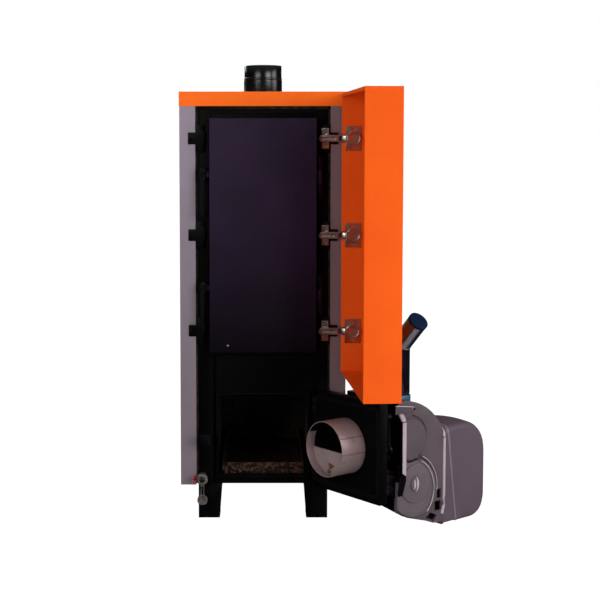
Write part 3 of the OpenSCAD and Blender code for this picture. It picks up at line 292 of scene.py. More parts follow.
def firedBrick():
    finish = Finish("fired brick")
    grain = finish.noise(380, 4)
    wall = {0: finish.axis("X") + finish.axis("Y"), 1: finish.axis("Z")}
    upright = finish.add("ShaderNodeCombineXYZ", {}, wall)
    values = {"Vector": upright, "Scale": 1.0, "Color1": (1, 1, 1, 1), "Color2": (0.8, 0.8, 0.8, 1)}
    values.update({"Mortar": (0, 0, 0, 1), "Mortar Size": 0.002, "Brick Width": 0.114, "Row Height": 0.064})
    joints = finish.add("ShaderNodeTexBrick", {"offset": 0.5}, values)
    clay = finish.mix(grain.clip(0.35, 0.7), tint(70, 60, 50), tint(48, 41, 35))
    laid = finish.mix(joints, tint(22, 20, 18), clay)
    soot = finish.noise(9, 4).clip(0.3, 0.62)
    finish.set("Base Color", finish.mix(soot, laid, tint(9, 8, 8)))
    finish.set("Roughness", grain * 0.2 + 0.75)
    finish.bump(grain * 0.4 + joints, 0.5 * mm)
    return finish.material


def fibre(name, colour, shade, scale):
    finish = Finish(name, roughness=0.95)
    finish.set("Specular IOR Level", 0.08)
    strands = finish.noise(scale, 5, (1, 0.25, 1))
    tufts = finish.noise(scale / 6, 4)
    finish.set("Base Color", finish.mix((strands * tufts).clip(0.15, 0.4), shade, colour))
    finish.bump(strands + tufts, 0.8 * mm)
    return finish.material


def braid():
    finish = Finish("braided rope", roughness=0.9)
    finish.set("Specular IOR Level", 0.08)
    along = finish.axis("X") + finish.axis("Y") + finish.axis("Z")
    across = finish.axis("X") - finish.axis("Y") - finish.axis("Z")
    lay = (along * 1100).sum("SINE", along * 1100) * (across * 1100).sum("SINE", across * 1100)
    fuzz = finish.noise(900, 3)
    finish.set("Base Color", finish.mix((lay * 0.5 + fuzz).clip(0.2, 0.9), tint(5, 4, 5), tint(13, 10, 13)))
    finish.bump(lay + fuzz * 0.6, 0.5 * mm)
    return finish.material


def soot():
    finish = Finish("sooted steel", roughness=0.8)
    cloud = finish.noise(16, 5)
    flakes = finish.noise(300, 4)
    finish.set("Base Color", finish.mix(cloud.clip(0.35, 0.7), tint(4, 3, 4), tint(15, 12, 12)))
    finish.set("Specular IOR Level", 0.15)
    finish.set("Roughness", flakes * 0.25 + 0.62)
    finish.bump(flakes, 0.2 * mm)
    return finish.material


print("Mixing the finishes")
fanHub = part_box("fan_wheel")[0].lerp(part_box("fan_wheel")[1], 0.5)
finishes = {
    "orangePaint": powderCoat("orange powder coat", tint(250, 111, 26), tint(247, 104, 25), 0.46, shine=0.1),
    # painted shade: the door's copy of the orange paint is darker
    "orangeShadedForDoor": powderCoat("orange door paint", tint(228, 90, 27), tint(224, 85, 26), 0.5, shine=0.0),
    "shadedGrey": powderCoat(
        "shaded grey powder coat", tint(115, 91, 97), tint(110, 87, 92), 0.5, 1.0, shine=0.3),
    # painted shade on the grey panels, darker towards the floor
    "greyPaint": powderCoat(
        "grey powder coat", tint(144, 131, 145), tint(138, 126, 139), 0.5, 1.0, shine=0.4,
        foot=tint(118, 106, 115), span=(0.3, 1.05)),
    "blackPaint": powderCoat("black powder coat", tint(3, 1, 5), tint(2, 1, 3), 0.42, 1.0, shine=0.12),
    "vesselPaint": powderCoat("heat resistant black", tint(2, 1, 4), tint(1, 1, 2), 0.5, 0.8, shine=0.08),
    "fluePaint": powderCoat("flue enamel", tint(8, 6, 9), tint(5, 4, 6), 0.2, 1.0, shine=0.55),
    # painted shade on the cleaning door, darker towards the floor
    "doorPaint": powderCoat(
        "aubergine powder coat", tint(38, 22, 47), tint(32, 18, 40), 0.46, 1.1, shine=0.14,
        foot=tint(6, 1, 11), span=(0.44, 0.8)),
    # painted highlight on the leaning arm, as a pale band in the base colour
    "pipePaint": powderCoat(
        "pipe enamel", tint(8, 3, 20), tint(6, 3, 18), 0.16, 3.0, 1.0, 1.0, glint=tint(120, 130, 140)),
    "nickel": nickelPlate(),
    "zinc": zincPlate(),
    "casting": castMetal("painted casting", tint(92, 81, 88), tint(80, 70, 77), 0.1, 0.34),
    "machined": castMetal("machined casting", tint(172, 155, 164), tint(160, 144, 153), 0.0, 0.5),
    "cover": castMetal("pressed fan cover", tint(102, 92, 99), tint(94, 84, 91), 0.1, 0.3, True),
    "hood": mouldedPlastic("hood plastic", tint(89, 76, 87), tint(84, 71, 82), 0.46, shine=0.2),
    # painted highlight: a pale copy of the plastic for lit edges, lines and crescents
    "rimHighlight": mouldedPlastic("hood rim plastic", tint(178, 163, 173), tint(168, 154, 164), 0.34),
    # painted highlight for the slope of the hood's crease
    "creaseHighlight": mouldedPlastic("hood crease plastic", tint(116, 103, 113), tint(108, 96, 105), 0.4),
    "tubeSeam": castMetal("tube seam", tint(92, 72, 72), tint(76, 58, 58), 0.2, 0.6),
    "tubePlate": castMetal("tube plate", tint(158, 138, 137), tint(136, 118, 117), 0.2, 0.5),
    # painted shade for the dome's crease
    "creaseShade": castMetal("casting crease", tint(44, 34, 41), tint(38, 30, 36), 0.0, 0.6),
    "red": mouldedPlastic("red plastic", tint(190, 30, 26), tint(170, 24, 20), 0.34),
    "capBlue": mouldedPlastic("blue cap plastic", tint(6, 32, 64), tint(4, 26, 54), 0.5, 1.5, shine=0.1),
    "collarBlue": mouldedPlastic("collar plastic", tint(62, 124, 140), tint(40, 92, 110), 0.26, 1.5, 0.4),
    "motor": mouldedPlastic("motor shell", tint(46, 46, 50), tint(40, 40, 44), 0.4, 1.2),
    "stainless": heatedSteel(),
    "pipeSteel": bareSteel("pipe steel", tint(150, 146, 142), 0.1),
    "traySteel": bareSteel("tray steel", tint(40, 37, 36), 0.35, 0.5),
    "rustSteel": bareSteel("rusted steel", tint(150, 92, 52), 0.9, 0.6),
    "brass": bareSteel("brass", tint(196, 160, 92), 0.0, 0.3),
    "brick": firedBrick(),
    "wool": fibre("mineral wool", tint(58, 52, 40), tint(24, 21, 17), 500),
    "board": fibre("fibre board", tint(7, 4, 7), tint(3, 2, 3), 700),
    "rope": braid(),
    "soot": soot(),
}


# Making pieces

def newPiece(name, mesh, body, finish, smooth=40):
    data = bpy.data.meshes.new(name)
    bmesh.ops.recalc_face_normals(mesh, faces=mesh.faces)
    mesh.to_mesh(data)
    mesh.free()
    piece = bpy.data.objects.new(name, data)
    bpy.context.scene.collection.objects.link(piece)
    data.materials.append(finishes[finish])
    for face in data.polygons:
        face.use_smooth = True
    data.set_sharp_from_angle(angle=math.radians(smooth))
    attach(piece, body)
    return piece


def bodyOf(node):
    for body, nodes in record["behaviour"]["bodies"].items():
        if node in nodes:
            return body


def dress(node, finish):
    # a CAD node that stays gets its finish in every slot
    data = frame["nodes"][node].data
    data.materials.clear()
    data.materials.append(finishes[finish])


def soften(node, finish, width, steps=2):
    # the node's own shape with its edges rounded, as bent sheet or a casting has them
    mesh = bmesh.new()
    mesh.from_mesh(frame["nodes"][node].data)
    bmesh.ops.remove_doubles(mesh, verts=mesh.verts, dist=0.002 * mm)
    bmesh.ops.dissolve_limit(mesh, angle_limit=math.radians(0.6), verts=mesh.verts, edges=mesh.edges)
    piece = newPiece(node + "_rounded", mesh, bodyOf(node), finish, 180)
    rounding = piece.modifiers.new("rounded edges", "BEVEL")
    rounding.width = width * mm
    rounding.segments = steps
    rounding.limit_method = "ANGLE"
    rounding.angle_limit = math.radians(28)
    rounding.harden_normals = True
    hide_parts(node)
    return piece


def ring(centre, across, up, radius, count):
    turns = [2 * math.pi * i / count for i in range(count)]
    return [centre + across * (radius * math.cos(turn)) + up * (radius * math.sin(turn)) for turn in turns]


def skin(mesh, rings, capped=False):
    # faces between one ring of points and the next
    rows = [[mesh.verts.new(point) for point in row] for row in rings]
    for low, high in zip(rows, rows[1:]):
        for i in range(len(low)):
            j = (i + 1) % len(low)
            mesh.faces.new((low[i], low[j], high[j], high[i]))
    if capped:
        mesh.faces.new(rows[0][::-1])
        mesh.faces.new(rows[-1])
    return rows


def sides(axis):
    across = axis.orthogonal().normalized()
    return across, axis.cross(across)


def turned(mesh, base, axis, profile, count):
    # profile is (along, radius) from one end to the other, with both ends closed
    across, up = sides(axis)
    rings = [ring(base + axis * (along * mm), across, up, radius * mm, count) for along, radius in profile]
    skin(mesh, rings, True)


def swept(mesh, path, radius, count):
    # a round section drawn along a path
    rings = []
    for i, point in enumerate(path):
        ahead, behind = path[min(i + 1, len(path) - 1)], path[max(i - 1, 0)]
        along = (ahead - behind).normalized()
        across = along.cross(Vector((0, 0, 1)))
        if across.length < 0.1:
            across = along.cross(Vector((0, 1, 0)))
        across.normalize()
        rings.append(ring(point, across, across.cross(along), radius, count))
    skin(mesh, rings, True)


def merge(mesh):
    # joins the points where a skin meets itself
    bmesh.ops.remove_doubles(mesh, verts=mesh.verts, dist=0.01 * mm)


# The burner door's own frame, as in the solids

joints = {joint["name"]: joint for joint in frame["joints"]}
burnerPin = Vector(joints["burner_door_swing"]["pos_m"])
burnerTurn = math.radians(127.5)
awayFromPin = Vector((-math.cos(burnerTurn), -math.sin(burnerTurn), 0))
outward = Vector((math.sin(burnerTurn), -math.cos(burnerTurn), 0))
upward = Vector((0, 0, 1))


def onBurner(v, u, z):
    # v from the pin to the free side, u out through the door, z up, in millimetres
    place = burnerPin + awayFromPin * (v * mm) + outward * (u * mm)
    return Vector((place.x, place.y, z * mm))


def paintFaces(piece, finish, test, cuts=()):
    # some faces of a piece in another finish, cut first along the planes where the paint ends
    data = piece.data
    mesh = bmesh.new()
    mesh.from_mesh(data)
    for place, facing in cuts:
        parts = mesh.verts[:] + mesh.edges[:] + mesh.faces[:]
        bmesh.ops.bisect_plane(mesh, geom=parts, plane_co=place, plane_no=facing)
    mesh.to_mesh(data)
    mesh.free()
    data.materials.append(finishes[finish])
    last = len(data.materials) - 1
    for face in data.polygons:
        away = face.center - burnerPin
        if test(away.dot(awayFromPin) / mm, away.dot(outward) / mm, face.center.z / mm, face.normal):
            face.material_index = last


# Screws and rivets are gathered here and made at the end, one piece for each body and kind

fixings = {}


def fix(body, kind, place, facing, radius):
    fixings.setdefault((body, kind), []).append((Vector(place), Vector(facing).normalized(), radius))


def crossHead(mesh, place, facing, radius):
    # a pan head with a cross recess
    across, up = sides(facing)
    height = radius * 0.55
    rim = []
    for lift, reach in ((0, 1.0), (0.45, 0.98), (0.8, 0.82), (1.0, 0.6)):
        rim.append(ring(place + facing * (height * lift * mm), across, up, radius * reach * mm, 24))
    rows = skin(mesh, rim)
    arm, width = radius * 0.42, radius * 0.1
    corners = []
    for quarter in range(4):
        turn = quarter * math.pi / 2
        for x, y in ((arm, -width), (arm, width), (width, width)):
            c, s = math.cos(turn), math.sin(turn)
            corners.append(across * ((x * c - y * s) * mm) + up * ((x * s + y * c) * mm))
    top = place + facing * (height * 1.02 * mm)
    deep = place + facing * (height * 0.45 * mm)
    edge = [mesh.verts.new(top + corner) for corner in corners]
    sunk = [mesh.verts.new(deep + corner * 0.7) for corner in corners]
    for i in range(len(edge)):
        j = (i + 1) % len(edge)
        mesh.faces.new((edge[i], edge[j], sunk[j], sunk[i]))
    mesh.faces.new(sunk)
    border = [mesh.edges.get((edge[i], edge[(i + 1) % len(edge)])) for i in range(len(edge))]
    border += [mesh.edges.get((rows[-1][i], rows[-1][(i + 1) % 24])) for i in range(24)]
    bmesh.ops.triangle_fill(mesh, use_beauty=True, edges=border)


def hexHead(mesh, place, facing, radius):
    # washer and hexagon
    washer = ((0, 1.5), (0.18, 1.5), (0.22, 1.45))
    turned(mesh, place, facing, [(along * radius, reach * radius) for along, reach in washer], 28)
    across, up = sides(facing)
    rows = []
    for lift, reach in ((0.2, 1.15), (0.85, 1.15), (0.98, 1.0)):
        rows.append(ring(place + facing * (radius * lift * mm), across, up, radius * reach * mm, 6))
    skin(mesh, rows, True)


def rivetHead(mesh, place, facing, radius):
    profile = ((0, 1), (0.25, 0.9), (0.42, 0.6), (0.48, 0.25))
    turned(mesh, place, facing, [(along * radius, reach * radius) for along, reach in profile], 20)


def makeFixings():
    makers = {"cross": crossHead, "hex": hexHead, "rivet": rivetHead, "blackCross": crossHead}
    for (body, kind), places in fixings.items():
        mesh = bmesh.new()
        for place, facing, radius in places:
            makers[kind](mesh, place, facing, radius)
        finish, slot = ("blackPaint", "black_paint") if kind == "blackCross" else ("zinc", "nickel")
        newPiece(body + "_" + kind + "_fixings", mesh, body, finish, 35)


# Casing

print("Casing")
casing = {
    "bend": 1.3, "lidBend": 2.0,
    "panelScrewX": 208, "panelScrewZ": (150, 620, 1060), "panelScrewR": 4.2,
    "lidScrewX": (-150, 0, 150), "lidScrewZ": 1121, "lidScrewR": 3.6,
}
soften("side_panel_left", "greyPaint", casing["bend"], 3)
rightPanel = soften("side_panel_right", "greyPaint", casing["bend"], 3)
# its front edge lies in the open door's shade
paintFaces(rightPanel, "shadedGrey", lambda v, u, z, normal: normal.y < -0.9)
soften("back_panel", "greyPaint", 0.5)
soften("top_cover", "orangePaint", casing["lidBend"], 3)
soften("legs", "blackPaint", 0.9)
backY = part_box("back_panel")[1].y
for side in (-1, 1):
    for z in casing["panelScrewZ"]:
        place = (side * casing["panelScrewX"] * mm, backY, z * mm)
        fix("boiler", "cross", place, (0, 1, 0), casing["panelScrewR"])
for x in casing["lidScrewX"]:
    fix("boiler", "cross", (x * mm, backY + 1 * mm, casing["lidScrewZ"] * mm), (0, 1, 0), casing["lidScrewR"])


# Vessel

print("Vessel")
for node in ("vessel_jacket_left", "vessel_jacket_right", "vessel_jacket_rear", "vessel_floor", "vessel_top"):
    dress(node, "soot")
soften("vessel_front", "vesselPaint", 1.0)
for node in ("exchanger_collar", "furnace_collar"):
    soften(node, "vesselPaint", 1.2)
soften("furnace_ceiling", "soot", 1.5)
soften("flue_shelves", "soot", 3.0, 3)
soften("furnace_lining", "brick", 1.5)
soften("insulation", "wool", 2.0)
soften("ash_tray", "traySteel", 0.5)


def collarWelds():
    # the weld bead that joins each collar to the front plate
    mesh = bmesh.new()
    for node in ("furnace_collar", "exchanger_collar"):
        low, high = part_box(node)
        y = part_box("vessel_front")[0].y + 3 * mm
        corners = [(low.x, low.z), (high.x, low.z), (high.x, high.z), (low.x, high.z)]
        path = []
        for i in range(4):
            (x0, z0), (x1, z1) = corners[i], corners[(i + 1) % 4]
            steps = int(math.hypot(x1 - x0, z1 - z0) / (4 * mm))
            for k in range(steps):
                swell = 0.4 * mm * math.sin(k * 1.9)
                path.append(Vector((x0 + (x1 - x0) * k / steps, y + swell, z0 + (z1 - z0) * k / steps)))
        rings = []
        for i, point in enumerate(path):
            ahead, behind = path[(i + 1) % len(path)], path[i - 1]
            along = Vector((ahead.x - behind.x, 0, ahead.z - behind.z)).normalized()
            size = (2.2 + 0.3 * math.sin(i * 2.4)) * mm
            rings.append(ring(point, along.cross(Vector((0, 1, 0))), Vector((0, 1, 0)), size, 8))
        rings.append(rings[0])
        skin(mesh, rings)
    merge(mesh)
    newPiece("collar_welds", mesh, "boiler", "vesselPaint")


collarWelds()


# Flue and water pipes

print("Flue and pipes")


def flue():
    low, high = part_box("flue_spigot")
    centre = Vector((0, (low.y + high.y) / 2, 0))
    top, base = high.z / mm, low.z / mm
    mesh = bmesh.new()
    outside = [(base, 68), (base + 2.4, 68), (base + 3, 67.4), (base + 3, 56.5), (base + 4, 55.5)]
    outside += [(1186.5, 55.5), (1188, 55.1), (1188.4, 54)]
    for step in range(9):
        # the bead that stops the flue pipe
        turn = math.pi * step / 8
        outside.append((1192 - 3 * math.cos(turn), 54 + 1.2 * math.sin(turn)))
    outside += [(top - 0.8, 54), (top, 53.3), (top, 52.6), (top - 0.6, 52), (base, 52)]
    across, up = Vector((1, 0, 0)), Vector((0, 1, 0))
    rings = [ring(centre + upward * (along * mm), across, up, radius * mm, 96) for along, radius in outside]
    rings.append(rings[0])
    skin(mesh, rings)
    merge(mesh)
    piece = newPiece("flue_spigot_rolled", mesh, "boiler", "fluePaint", 50)
    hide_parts("flue_spigot")


def threaded(start, length, radius, pitch=2.3):
    # rings of thread on the end of a pipe
    profile = [(start, radius - 1)]
    count = int(length / pitch)
    for turn in range(count):
        along = start + turn * pitch
        profile += [(along + 0.3 * pitch, radius - 0.9), (along + 0.65 * pitch, radius)]
    profile.append((start + length, radius - 1))
    return profile


def waterStubs():
    for node in ("flow_stub", "return_stub"):
        low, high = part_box(node)
        base = Vector((0, low.y, (low.z + high.z) / 2))
        axis = Vector((0, 1, 0))
        length = (high.y - low.y) / mm
        mesh = bmesh.new()
        profile = [(0, 20.6), (18.5, 20.6), (20, 19.4), (20, 16.4), (length - 26, 16.4)]
        profile += threaded(length - 26, 25, 16.5)
        profile += [(length, 15), (length, 13.6), (20.2, 13.6)]
        across, up = sides(axis)
        rings = [ring(base + axis * (along * mm), across, up, reach * mm, 56) for along, reach in profile]
        skin(mesh, rings, True)
        piece = newPiece(node + "_threaded", mesh, "boiler", "pipeSteel", 50)
        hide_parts(node)


flue()
waterStubs()
soften("sensor_pocket", "brass", 0.5)


# Drain valve

print("Drain valve")
soften("drain_valve", "pipeSteel", 0.6)
soften("drain_handle", "red", 1.2, 3)
soften("drain_cap", "pipeSteel", 0.8)


# Outer door and its cup hinges

print("Outer door")
# painted shade: the door gets the darker copy of the orange paint
soften("outer_door_shell", "orangeShadedForDoor", 1.4, 3)
soften("hinge_brackets", "blackPaint", 0.9)
soften("hinge_plates", "nickel", 0.5)
soften("hinge_arms", "nickel", 1.0, 3)
soften("hinge_cups", "nickel", 0.5, 3)
soften("hinge_links", "nickel", 0.4)
hinge = {
    "heights": (508.5, 763, 1017.5), "front": (0, -1, 0),
    "arm": {"x": (154, 169), "y": -276, "radius": 3.4},
    "plate": {"x": 163.5, "y": -269, "rises": (-16, 16), "radius": 3.8},
    "bracket": {"x": -163.5, "farX": -190, "y": -267, "rises": (-28, 28), "radius": 4.2},
}


def hingeScrew(kind, row, x, z):
    fix("boiler", kind, (x * mm, hinge[row]["y"] * mm, z * mm), hinge["front"], hinge[row]["radius"])


for z in hinge["heights"]:
    for x in hinge["arm"]["x"]:
        hingeScrew("cross", "arm", x, z)
    for rise in hinge["plate"]["rises"]:
        hingeScrew("cross", "plate", hinge["plate"]["x"], z + rise)
    for rise in hinge["bracket"]["rises"]:
        hingeScrew("blackCross", "bracket", hinge["bracket"]["x"], z + rise)
    hingeScrew("blackCross", "bracket", hinge["bracket"]["farX"], z)


# Cleaning door

print("Cleaning door")
soften("cleaning_door_panel", "doorPaint", 2.2, 3)
soften("cleaning_door_insulation", "board", 1.0)
soften("cleaning_door_hinges", "doorPaint", 0.8)
soften("cleaning_door_tabs", "doorPaint", 0.8)
soften("cleaning_door_posts", "blackPaint", 0.8)
soften("latch_brackets", "blackPaint", 0.9)
soften("latch_upper", "blackPaint", 1.2, 3)
soften("latch_lower", "blackPaint", 1.2, 3)
fix("cleaning_door", "rivet", (-92 * mm, -304 * mm, 474 * mm), (0, -1, 0), 3.2)


def ropeSeal(node, flip):
    # a soft rope pressed into a frame, in the same room as its solid
    low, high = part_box(node)
    source = frame["nodes"][node].data
    outwardSide = outward if flip else Vector((0, -1, 0))
    sideways = awayFromPin if flip else Vector((-1, 0, 0))
    origin = burnerPin if flip else Vector(joints["cleaning_door_swing"]["pos_m"])
    reaches = [(vertex.co - origin).dot(sideways) for vertex in source.vertices]
    depths = [(vertex.co - origin).dot(outwardSide) for vertex in source.vertices]
    half = 6 * mm
    v0, v1 = min(reaches) + half, max(reaches) - half
    z0, z1 = low.z + half, high.z - half
    middle, depth = (min(depths) + max(depths)) / 2, (max(depths) - min(depths)) / 2
    corner = 10 * mm
    path = []
    right, left, top, foot = v1 - corner, v0 + corner, z1 - corner, z0 + corner
    for quarter, (cv, cz) in enumerate(((right, top), (left, top), (left, foot), (right, foot))):
        for step in range(7):
            turn = math.radians(90 * quarter + 15 * step)
            path.append((cv + corner * math.cos(turn), cz + corner * math.sin(turn)))
    points = []
    for i, (v, z) in enumerate(path):
        nextV, nextZ = path[(i + 1) % len(path)]
        count = max(1, int(math.hypot(nextV - v, nextZ - z) / (6 * mm)))
        for k in range(count):
            points.append((v + (nextV - v) * k / count, z + (nextZ - z) * k / count))
    rings = []
    for i, (v, z) in enumerate(points):
        (v2, z2), (v3, z3) = points[(i + 1) % len(points)], points[i - 1]
        along = (sideways * (v2 - v3) + upward * (z2 - z3)).normalized()
        across = along.cross(outwardSide)
        centre = origin + sideways * v + outwardSide * middle
        centre.z = z
        swell = 1 - 0.04 * (i % 2)
        section = []
        for k in range(16):
            turn = 2 * math.pi * k / 16
            c, s = math.cos(turn), math.sin(turn)
            reach = across * (half * swell * math.copysign(abs(c) ** 0.7, c))
            section.append(centre + reach + outwardSide * (depth * math.copysign(abs(s) ** 0.7, s)))
        rings.append(section)
    rings.append(rings[0])
    mesh = bmesh.new()
    skin(mesh, rings)
    merge(mesh)
    piece = newPiece(node + "_rope", mesh, bodyOf(node), "rope", 60)
    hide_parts(node)


ropeSeal("cleaning_door_seal", False)
ropeSeal("burner_door_seal", True)


# Burner door

print("Burner door")
soften("burner_door_pan", "blackPaint", 1.8, 3)
soften("burner_door_insulation", "board", 1.0)
soften("burner_door_hinges", "blackPaint", 0.8)
soften("burner_door_posts", "blackPaint", 0.8)
soften("burner_keeper", "blackPaint", 1.0)
soften("burner_latch", "blackPaint", 1.4, 3)
soften("burner_flange", "blackPaint", 1.2)
tubePiece = soften("burner_tube", "stainless", 0.8)
soften("igniter", "tubePlate", 0.8)


tubeLook = {"v": 136.0, "z": 228.0, "inner": 69.2, "shadeFrom": 262.0, "chord": 221.0, "seams": (30.0, -4.0)}
grateAways = [vertex.co - burnerPin for vertex in frame["nodes"]["burner_grate"].data.vertices]
tubeLook["plateFront"] = min(away.dot(outward) for away in grateAways) / mm
tubeLook["plateBack"] = max(away.dot(outward) for away in grateAways) / mm


def inTube(reach, turn):
    # a point of the tube's cross section, by its distance and angle from the axis
    return tubeLook["v"] + reach * math.cos(turn), tubeLook["z"] + reach * math.sin(turn)


def shadeInTube(v, u, z, normal):
    # painted shade in the soot finish: the bore, behind the plate and along its top
    inside = math.hypot(v - tubeLook["v"], z - tubeLook["z"]) < tubeLook["inner"]
    return inside and (u > tubeLook["plateBack"] or z > tubeLook["shadeFrom"])


def slab(rim, first, last):
    # a flat piece between two depths
    mesh = bmesh.new()
    skin(mesh, [[onBurner(v, u, z) for v, z in rim] for u in (first, last)], True)
    return mesh


def tubeSeams():
    mesh = bmesh.new()
    outer = (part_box("burner_tube")[1].z / mm - tubeLook["z"]) - 0.2
    for seam in tubeLook["seams"]:
        path = []
        for i in range(36):
            v, z = inTube(outer, math.radians(seam) + 0.012 * math.sin(i * 0.9))
            path.append(onBurner(v, -78.5 + i * 2.6, z))
        swept(mesh, path, 0.9 * mm, 8)
    newPiece("burner_tube_seams", mesh, "burner_door", "tubeSeam")


def gratePlate():
    # the half-moon plate with its straight top a little below the axis
    radius = tubeLook["z"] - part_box("burner_grate")[0].z / mm
    first = math.asin((tubeLook["chord"] - tubeLook["z"]) / radius)
    rim = [inTube(radius, first - (math.pi + 2 * first) * i / 48) for i in range(49)]
    mesh = slab(rim, tubeLook["plateFront"], tubeLook["plateBack"])
    plate = newPiece("burner_grate_plate", mesh, "burner_door", "tubePlate", 30)
    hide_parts("burner_grate")
    bolt = onBurner(tubeLook["v"] - 4, tubeLook["plateFront"], tubeLook["z"] - 60)
    fix("burner_door", "hex", bolt, -outward, 4.2)


def rustStain():
    rim = []
    v, z = tubeLook["v"] + 2, tubeLook["z"] - 46
    for i in range(26):
        turn = 2 * math.pi * i / 26
        reach = 8 + 2.2 * math.sin(3 * turn + 1) + 1.2 * math.sin(7 * turn)
        rim.append((v + 1.3 * reach * math.cos(turn), z + 0.8 * reach * math.sin(turn)))
    mesh = slab(rim, tubeLook["plateFront"] - 0.1, tubeLook["plateFront"] - 0.5)
    newPiece("burner_tube_stain", mesh, "burner_door", "rustSteel")


# painted shade inside the bore, in the soot finish
paintFaces(tubePiece, "soot", shadeInTube, ((onBurner(0, tubeLook["plateBack"], 0), outward),))
tubeSeams()
gratePlate()
rustStain()


# Burner casting, fan and hood

print("Burner")
coverPiece = soften("fan_cover", "cover", 2.0, 4)
dress("fan_motor", "motor")
dress("fan_wheel", "casting")

# the hood's sizes on the burner door's frame; the crown is a fall with the square of the distance
hood = {
    "centre": 152.0, "half": 105.0, "start": 226.0, "end": 393.0, "low": 5.0, "high": 270.0,
    "topRadius": 81.0, "lowRadius": 52.0, "rimHigh": 28.0, "rimLow": 8.0, "corner": 13.0,
    "draft": 9.0, "wall": 5.0, "crownAt": 190.0, "crown": 0.0012,
    "creaseStart": 20.0, "creaseLean": 36.0, "lip": 3.2, "lipRadius": 4.2,
}


def hoodTop(u):
    start = hood["end"] - hood["topRadius"]
    rise = math.sqrt(max(0.0, hood["topRadius"] ** 2 - max(0.0, u - start) ** 2))
    return hood["high"] - hood["topRadius"] + rise


def hoodLow(u):
    start = hood["end"] - hood["lowRadius"]
    rise = math.sqrt(max(0.0, hood["lowRadius"] ** 2 - max(0.0, u - start) ** 2))
    return hood["low"] + hood["lowRadius"] - rise


def hoodWidth(u):
    along = (u - hood["start"]) / (hood["end"] - hood["start"])
    fade = max(0.0, u - (hood["end"] - 24)) / 24
    return hood["half"] - hood["draft"] * along - 5 * fade ** 2


def creaseAt(height):
    return hood["start"] + hood["creaseStart"] + hood["creaseLean"] * (1 - height)


def hoodPlace(kind, value, height):
    # where a ring lies: straight across, or set off from the slanting crease
    if kind == "at":
        return value
    if kind == "crease":
        return creaseAt(height) + value
    first, last = (hood["start"] + 6, creaseAt(height)) if kind == "before" else (creaseAt(height), 300)
    return first + (last - first) * value


def hoodRing(kind, value, inset):
    base = hoodPlace(kind, value, 0.5)
    top, low = hoodTop(base) - inset, hoodLow(base) + inset
    middle, half = (top + low) / 2, (top - low) / 2
    along = min(1.0, (base - hood["start"]) / 60)
    width = hoodWidth(base) - inset
    points = []
    for quarter, (signV, signZ) in enumerate(((1, 1), (-1, 1), (-1, -1), (1, -1))):
        rim = hood["rimHigh"] if signZ > 0 else hood["rimLow"]
        corner = min(rim + (hood["corner"] - rim) * along, half * 0.9, width * 0.9)
        for step in range(9):
            turn = math.radians(90 * quarter + 11.25 * step)
            v = signV * (width - corner) + corner * math.cos(turn)
            points.append((v, signZ * (half - corner) + corner * math.sin(turn)))
    section = []
    for i, (v, z) in enumerate(points):
        v2, z2 = points[(i + 1) % len(points)]
        count = 10 if i % 9 == 8 else 1
        for k in range(count):
            cv, cz = v + (v2 - v) * k / count, z + (z2 - z) * k / count
            height = (cz + half) / (2 * half)
            u = hoodPlace(kind, value, height)
            cv *= (hoodWidth(u) - inset) / width
            place = hood["centre"] + cv
            cz -= hood["crown"] * height ** 2 * (place - hood["crownAt"]) ** 2
            cz += 0.2 * max(0.0, 200 - place) * (1 - height) ** 2
            section.append(onBurner(hood["centre"] + cv, u, middle + cz))
    return section


def onCreaseSlope(v, u, z, normal):
    height = (z - hood["low"]) / (hood["high"] - hood["low"])
    return -4.6 < u - creaseAt(height) < -0.4 and v > 200


def makeHood():
    start, end = hood["start"], hood["end"]
    rim = ((0, 3.4), (0.4, 1.5), (1.3, 0.4), (2.6, 0.0), (4.0, 0.3), (5.0, 1.2), (5.5, 2.2))
    slope = ((-4.6, 1.8), (-3.9, 1.7), (-0.6, 0.1), (0.6, 0.0))
    crown = (91, 84, 76, 68, 60, 52, 44, 37, 30, 24, 18.5, 13.5, 9.5, 6.5, 4, 2.2, 1, 0.3, 0)
    stops = [("at", end - back, hood["wall"]) for back in (6, 20, 40, 80)]
    stops.append(("at", start, hood["wall"]))
    stops += [("at", start + along, inset) for along, inset in rim]
    stops.append(("before", 0.5, 1.8))
    stops += [("crease", along, inset) for along, inset in slope]
    stops += [("after", 0.3, 0.0), ("after", 0.7, 0.0)]
    stops += [("at", end - back, 0.0) for back in crown]
    mesh = bmesh.new()
    skin(mesh, [hoodRing(*stop) for stop in stops], True)
    piece = newPiece("burner_hood_moulded", mesh, "burner_door", "hood", 32)
    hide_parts("burner_hood")
    # painted highlight on the crease's slope
    paintFaces(piece, "creaseHighlight", onCreaseSlope)


def hoodLip():
    # the lip that shuts on the casting, over the top and down the free side, pale as a painted highlight
    lip = hood["start"] + hood["lip"]
    path = []
    for place in hoodRing("at", lip, 0.6):
        v, z = (place - burnerPin).dot(awayFromPin) / mm, place.z / mm
        if v > hood["centre"] - 60 and z > 150 or v > 240 and z > 34:
            path.append(onBurner(v, lip - 22 * max(0.0, (60 - z) / 42) ** 2, z))
    path.sort(key=lambda place: (place - burnerPin).dot(awayFromPin) - place.z)
    bead = bmesh.new()
    swept(bead, path, hood["lipRadius"] * mm, 10)
    newPiece("burner_hood_lip_highlight", bead, "burner_door", "rimHighlight", 60)


makeHood()
hoodLip()

